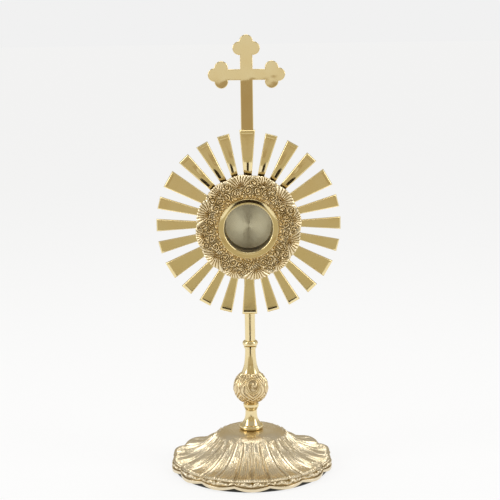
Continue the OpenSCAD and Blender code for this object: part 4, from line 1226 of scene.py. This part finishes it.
# Window glass. A round pane of clear glass, its edge ground off a little; it lies on the seal, and the
# bezel holds it.
GLASS_STEPS = 128
glass_r, glass_back, glass_front = level_box("window_glass")
pane = plain_round("window_pane", 0, glass_r, glass_back, glass_front, GLASS_STEPS, theca)

# Clear glass: colourless, with a trace of handling that dulls the gloss in patches
glass, tree, shader = new_material("clear_glass")
place = add(tree, "TexCoord", "Object", {})
smear = add(tree, "TexNoise", "Fac", {"Vector": place, "Scale": 1 / (7 * MM), "Detail": 3})
gloss = add(tree, "MapRange", "Result",
            {"Value": smear, "From Min": 0.45, "From Max": 0.75, "To Min": 0.01, "To Max": 0.05})
fill(shader, {"Base Color": linear("#F4F6F3"), "Roughness": gloss, "IOR": 1.5,
              "Transmission Weight": 1})
seat(pane, glass, "window_glass")


# Bezel. A turned brass ring that screws over the case's neck and holds the glass: an outer lip, a
# face that slopes gently inwards and a flat ring at the window; polished and gold-plated.
BEZEL_EASE = 0.35 * MM
BEZEL_LIP_W = 0.5 * MM
FACE_FALL = 0.5 * MM
WINDOW_RING_W = 1.6 * MM
WINDOW_ROUND = 0.7 * MM
WINDOW_R = 15.35 * MM
BEZEL_STEPS = 192
bezel_r = bezel_high.x - BEZEL_EASE
bezel_front = -bezel_low.y
ring_front = bezel_front - FACE_FALL
bezel = turned(
    "window_bezel",
    [(CASE_NECK_R, lip_front), (bezel_r, lip_front)]
    + arc(bezel_r - EDGE, bezel_front - EDGE, EDGE, 0, 90, 5)
    + [(bezel_r - BEZEL_LIP_W, bezel_front), (WINDOW_R + WINDOW_RING_W, ring_front)]
    + arc(WINDOW_R + WINDOW_ROUND, ring_front - WINDOW_ROUND, WINDOW_ROUND, 90, 180, 8)
    + [(WINDOW_R, glass_front), (CASE_NECK_R, glass_front)],
    BEZEL_STEPS, theca,
)
seat(bezel, polished_gilt, "bezel", smooth=40, flat_faces=True)


# Hinge. A fixed leaf soldered to the flange and a door leaf soldered to the door, cut from brass
# strip and rolled into knuckles, with a steel pin through them.
KNUCKLE_R = 1.7 * MM
MID_KNUCKLE = 5.6 * MM
KNUCKLE_GAP = 0.3 * MM
PIN_R = 0.8 * MM
PIN_CLEAR = 0.06 * MM
LEAF_T = 1 * MM
LEAF_EASE = 0.15 * MM

hinge = joint_places["door_hinge"]
fixed_low, fixed_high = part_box("hinge_leaf")
moving_low, moving_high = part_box("door_leaf")
pin_low, pin_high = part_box("hinge_pin")


def on_hinge(name, bore, r, low, high):
    """A knuckle or a pin on the hinge's upright axis, between two heights."""
    bar = plain_round(name, bore, r, low, high, TURN_STEPS)
    bar.data.transform(Matrix.Translation((hinge.x, hinge.y, 0)))
    return bar


mid_reach = MID_KNUCKLE / 2 + KNUCKLE_GAP
leaf_back = FLANGE_BACK + LEAF_T
leaf_inner = hinge.x - KNUCKLE_R - KNUCKLE_GAP
fixed_parts = [strip(Vector((fixed_low.x, FLANGE_BACK, fixed_low.z)),
                     Vector((leaf_inner, leaf_back, fixed_high.z)), LEAF_EASE)]
for low, high in ((fixed_low.z, hinge.z - mid_reach), (hinge.z + mid_reach, fixed_high.z)):
    fixed_parts.append(on_hinge("knuckle", PIN_R, KNUCKLE_R, low, high))
    fixed_parts.append(strip(Vector((leaf_inner - EDGE, FLANGE_BACK, low)),
                             Vector((hinge.x - PIN_R, leaf_back, high)), LEAF_EASE))
seat(join("fixed_leaf", fixed_parts), polished_gilt, "hinge_leaf")
seat(on_hinge("hinge_rod", 0, PIN_R, pin_low.z, pin_high.z), steel, "hinge_pin")


# Back door. A turned brass disc with a stepped edge and a spigot that enters the case, polished and
# gold-plated; its hinge leaf is soldered to it.
DOOR_T = 1.6 * MM
DOOR_STEP_W = 2.4 * MM
DOOR_STEP_H = 0.5 * MM
DOOR_STEP_EASE = 0.1 * MM
SPIGOT_R = 14.95 * MM
SPIGOT_WALL = 1.4 * MM
door_r, door_back, spigot_front = level_box("door")
door_front = door_back + DOOR_T
door_step = door_back + DOOR_STEP_H
step_r = door_r - DOOR_STEP_W
spigot_bore = SPIGOT_R - SPIGOT_WALL
door = turned("door_disc", [
    (0, door_back), (step_r - EDGE, door_back), (step_r, door_back + DOOR_STEP_EASE),
    (step_r + DOOR_STEP_H, door_step), (door_r - EDGE, door_step), (door_r, door_step + EDGE),
    (door_r, door_front), (SPIGOT_R, door_front), (SPIGOT_R, spigot_front), (spigot_bore, spigot_front),
    (spigot_bore, door_front), (0, door_front),
], THECA_STEPS, theca)
seat(door, polished_gilt, "door", body="back_door")

moving_leaf = join("moving_leaf", [
    on_hinge("knuckle", PIN_R + PIN_CLEAR, KNUCKLE_R, moving_low.z, moving_high.z),
    strip(Vector((hinge.x + PIN_R, -door_back, moving_low.z)), moving_high, LEAF_EASE),
])
seat(moving_leaf, polished_gilt, "door_leaf", body="back_door")


# Relic disc. A thin disc of brass with a dull satin face, soldered on the door's spigot; it shows
# behind the glass and carries the relic.
RELIC_EASE = 0.2 * MM
RUB_PITCH = 0.8 * MM
RUB_DEPTH = 0.01 * MM
relic_r, relic_back, relic_front = level_box("relic_plate")
relic = turned("relic_disc", [
    (0, relic_back), (relic_r, relic_back), (relic_r, relic_front - RELIC_EASE),
    (relic_r - RELIC_EASE, relic_front), (0, relic_front),
], GLASS_STEPS, theca)

# Satin brass: grey-gold, rubbed in rings round its middle, so that light fans out from there to both
# sides, with a few faint stains; the rings are drawn coarser than the real scratches, to show
satin, tree, shader, place, stain = mottled("satin_brass", "#FFF4D8", "#F2E2BC", 6 * MM, 5)
middle = add(tree, "Mapping", "Vector", {"Vector": place, "Location": -theca})
across_rings = add(tree, "VectorTransform", "Vector", {"Vector": middle}, vector_type="VECTOR",
                   convert_from="OBJECT", convert_to="WORLD")
rubbed = add(tree, "TexWave", "Fac",
             {"Vector": middle, "Scale": 1 / (2 * RUB_PITCH), "Distortion": 1.5, "Detail": 2},
             wave_type="RINGS", rings_direction="Y")
brush = add(tree, "Bump", "Normal", {"Height": rubbed, "Distance": RUB_DEPTH})
gloss = add(tree, "MapRange", "Result", {"Value": stain, "To Min": 0.26, "To Max": 0.36})
fill(shader, {"Metallic": 1, "Roughness": gloss, "Anisotropic": 0.85, "Tangent": across_rings,
              "Normal": brush})
seat(relic, satin, "relic_plate", body="back_door")


# Door knob. A small turned pull of brass, a ball on a short neck, riveted through the door and
# gold-plated with it.
KNOB_FOOT_H = 0.6 * MM
KNOB_FOOT_EASE = 0.125 * MM
KNOB_NECK_R = 1 * MM
KNOB_BALL_R = 2 * MM
low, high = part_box("door_knob")
knob_foot_r = (high.x - low.x) / 2
knob_foot = door_back - KNOB_FOOT_H
neck_meets = math.degrees(math.asin(KNOB_NECK_R / KNOB_BALL_R))
knob = turned(
    "knob_pull",
    [(0, door_back), (knob_foot_r, door_back), (knob_foot_r, knob_foot + KNOB_FOOT_EASE),
     (knob_foot_r - KNOB_FOOT_EASE, knob_foot), (KNOB_NECK_R, knob_foot)]
    + arc(0, KNOB_BALL_R - high.y, KNOB_BALL_R, 90 - neck_meets, -90, 16),
    TURN_STEPS, Vector(((low.x + high.x) / 2, 0, theca.z)),
)
seat(knob, polished_gilt, "door_knob", body="back_door")


# Latch. A brass turn button, sawn from strip with rounded ends, and the steel shoulder screw that it
# turns on; it hangs down at rest and turns in over the door's edge.
BUTTON_R = 2.3 * MM
BUTTON_TIP_R = 1.5 * MM
BUTTON_L = 7.5 * MM
BUTTON_EASED = [(0.09 * MM, 0.21 * MM), (0.21 * MM, 0.09 * MM)]
SHOULDER_R = 1 * MM
SHOULDER_HEAD_R = 1.9 * MM
SHOULDER_HEAD_H = 1 * MM

low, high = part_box("turn_button")
button_outline = arc(0, 0, BUTTON_R, 0, 180, 24) + arc(0, -BUTTON_L, BUTTON_TIP_R, 180, 360, 16)
button_places = [latch + Vector((x, low.y, z)) for x, z in button_outline]
button = sawn("turn_latch", button_places, high.y - low.y, BUTTON_EASED)
seat(button, polished_gilt, "turn_button", body="latch")

low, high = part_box("button_screw")
shoulder = slotted_screw("shoulder_screw", latch, SHOULDER_R, -low.y, SHOULDER_HEAD_R,
                         high.y - SHOULDER_HEAD_H, SHOULDER_HEAD_H)
seat(shoulder, steel, "button_screw")


# Studio. A white table, a pale room and three soft boxes, with cards for what stands round the table: a
# dark gap, a warm floor and a warm wall. Only polished metal and the disc behind the glass show them.
TABLE = 40.0
TABLE_GLOW = 0.785
CARD_LIFT = 0.002
GAP_FAR = 0.43
WALL_FAR = 1.05
PANE_FRONT = 0.01
ROOM_HALF = 1.2
PANEL_LOW = 0.13
PANEL_TOP = 0.206

table = start("studio_table", bpy.ops.mesh.primitive_plane_add, size=TABLE)
paper, tree, shader = new_material("white_paper")
fill(shader, {"Base Color": linear("#7C7C7C"), "Roughness": 0.9, "Specular IOR Level": 0,
              "Emission Color": linear("#FFFFFF"), "Emission Strength": TABLE_GLOW})
table.data.materials.append(paper)


def card(name, colour, *edges, through_glass=False, in_mirrors=True):
    """A card that only reflections see, with its own even light. It spans two level edges, each given by
    half of its length, its place along Y and its height."""
    sheet = start(name, bpy.ops.mesh.primitive_plane_add, size=1)
    corners = [(side * half, far, height) for half, far, height in edges for side in (-1, 1)]
    for vertex, corner in zip(sheet.data.vertices, corners):
        vertex.co = corner
    finish, tree, shader = new_material(name)
    fill(shader, {"Base Color": (0, 0, 0, 1), "Specular IOR Level": 0, "Roughness": 1,
                  "Emission Color": linear(colour), "Emission Strength": 1})
    sheet.data.materials.append(finish)
    sheet.visible_camera = sheet.visible_diffuse = sheet.visible_shadow = False
    sheet.visible_volume_scatter = False
    sheet.visible_transmission = through_glass
    sheet.visible_glossy = in_mirrors


# The same on both sides, with a lighter pane before the wall; the front gap is the darker one, and the
# disc behind the glass shows it too
for side, facing, gap_colour in (("front", -1, "#2A2013"), ("back", 1, "#7D7052")):
    gap, wall, behind = facing * GAP_FAR, facing * WALL_FAR, facing * (WALL_FAR + PANE_FRONT)
    card(f"{side}_gap", gap_colour, (0.05, facing * 0.2, CARD_LIFT), (0.11, gap, CARD_LIFT),
         through_glass=side == "front")
    card(f"{side}_floor", "#BFB69C", (0.45, gap, CARD_LIFT), (ROOM_HALF, wall, CARD_LIFT))
    card(f"{side}_skirting", "#C2B79F", (ROOM_HALF, wall, 0), (ROOM_HALF, wall, PANEL_LOW))
    card(f"{side}_panel", "#AE9E80", (ROOM_HALF, wall, PANEL_LOW), (ROOM_HALF, wall, PANEL_TOP))
    card(f"{side}_wall", "#BEB398", (ROOM_HALF, behind, PANEL_TOP), (ROOM_HALF, behind, 0.8))
    card(f"{side}_pane", "#E0DDD3", (0.14, wall, PANEL_TOP), (0.14, wall, 0.32))

# A dark strip that only the disc shows, so that its rubbed rings fan out light and dark
card("front_strip", "#4E4224", (0.045, -0.55, 0), (0.045, -0.55, 0.42), through_glass=True, in_mirrors=False)


def soft_box(name, place, target, width, height, watts):
    """A soft area lamp that faces a point."""
    lamp = bpy.data.lights.new(name, "AREA")
    lamp.shape = "RECTANGLE"
    lamp.size, lamp.size_y, lamp.energy = width, height, watts
    holder = bpy.data.objects.new(name, lamp)
    holder.location = place
    holder.rotation_euler = (Vector(target) - Vector(place)).to_track_quat("-Z", "Y").to_euler()
    bpy.context.scene.collection.objects.link(holder)


STEM_MIDDLE = (0, 0, 0.12)
soft_box("left_box", (-0.75, -0.3, 0.6), STEM_MIDDLE, width=0.35, height=0.7, watts=2.4)
soft_box("right_box", (0.75, -0.25, 0.6), STEM_MIDDLE, width=0.35, height=0.7, watts=2.2)
soft_box("top_box", (0, 0.1, 1.0), (0, 0, 0), width=0.5, height=0.5, watts=2.0)

# Pale room: nearly white at eye level, and greyer overhead
world = bpy.data.worlds.new("pale_room")
bpy.context.scene.world = world
world.use_nodes = True
tree = world.node_tree
looking = add(tree, "TexCoord", "Generated", {})
height = add(tree, "SeparateXYZ", "Z", {"Vector": looking})
climb = add(tree, "MapRange", "Result", {"Value": height, "From Min": 0.03, "From Max": 0.45},
            interpolation_type="SMOOTHSTEP")
pale = add(tree, "MixRGB", "Color", {"Fac": climb, "Color1": linear("#F1F1F1"), "Color2": linear("#BCBAB5")})
fill(tree.nodes["Background"], {"Color": pale, "Strength": 1})


# Camera. It stands 0.8 m in front and a little above, looks down by ten degrees and leans nearly
# one, as the photograph was taken.
VIEW_PX = 500
FOCAL_PX = 1270
SENSOR = 36
CAMERA_PLACE = (0.0007, -0.8, 0.285)
CAMERA_TILT = math.radians(80)
CAMERA_LEAN = math.radians(-0.8)
camera_data = bpy.data.cameras.new("camera")
camera_data.sensor_width = SENSOR
camera_data.lens = FOCAL_PX / VIEW_PX * SENSOR
camera = bpy.data.objects.new("camera", camera_data)
camera.matrix_world = (Matrix.Translation(CAMERA_PLACE) @ Matrix.Rotation(CAMERA_TILT, 4, "X")
                       @ Matrix.Rotation(CAMERA_LEAN, 4, "Z"))
bpy.context.scene.collection.objects.link(camera)
bpy.context.scene.camera = camera
bpy.context.scene.view_settings.view_transform = "Standard"
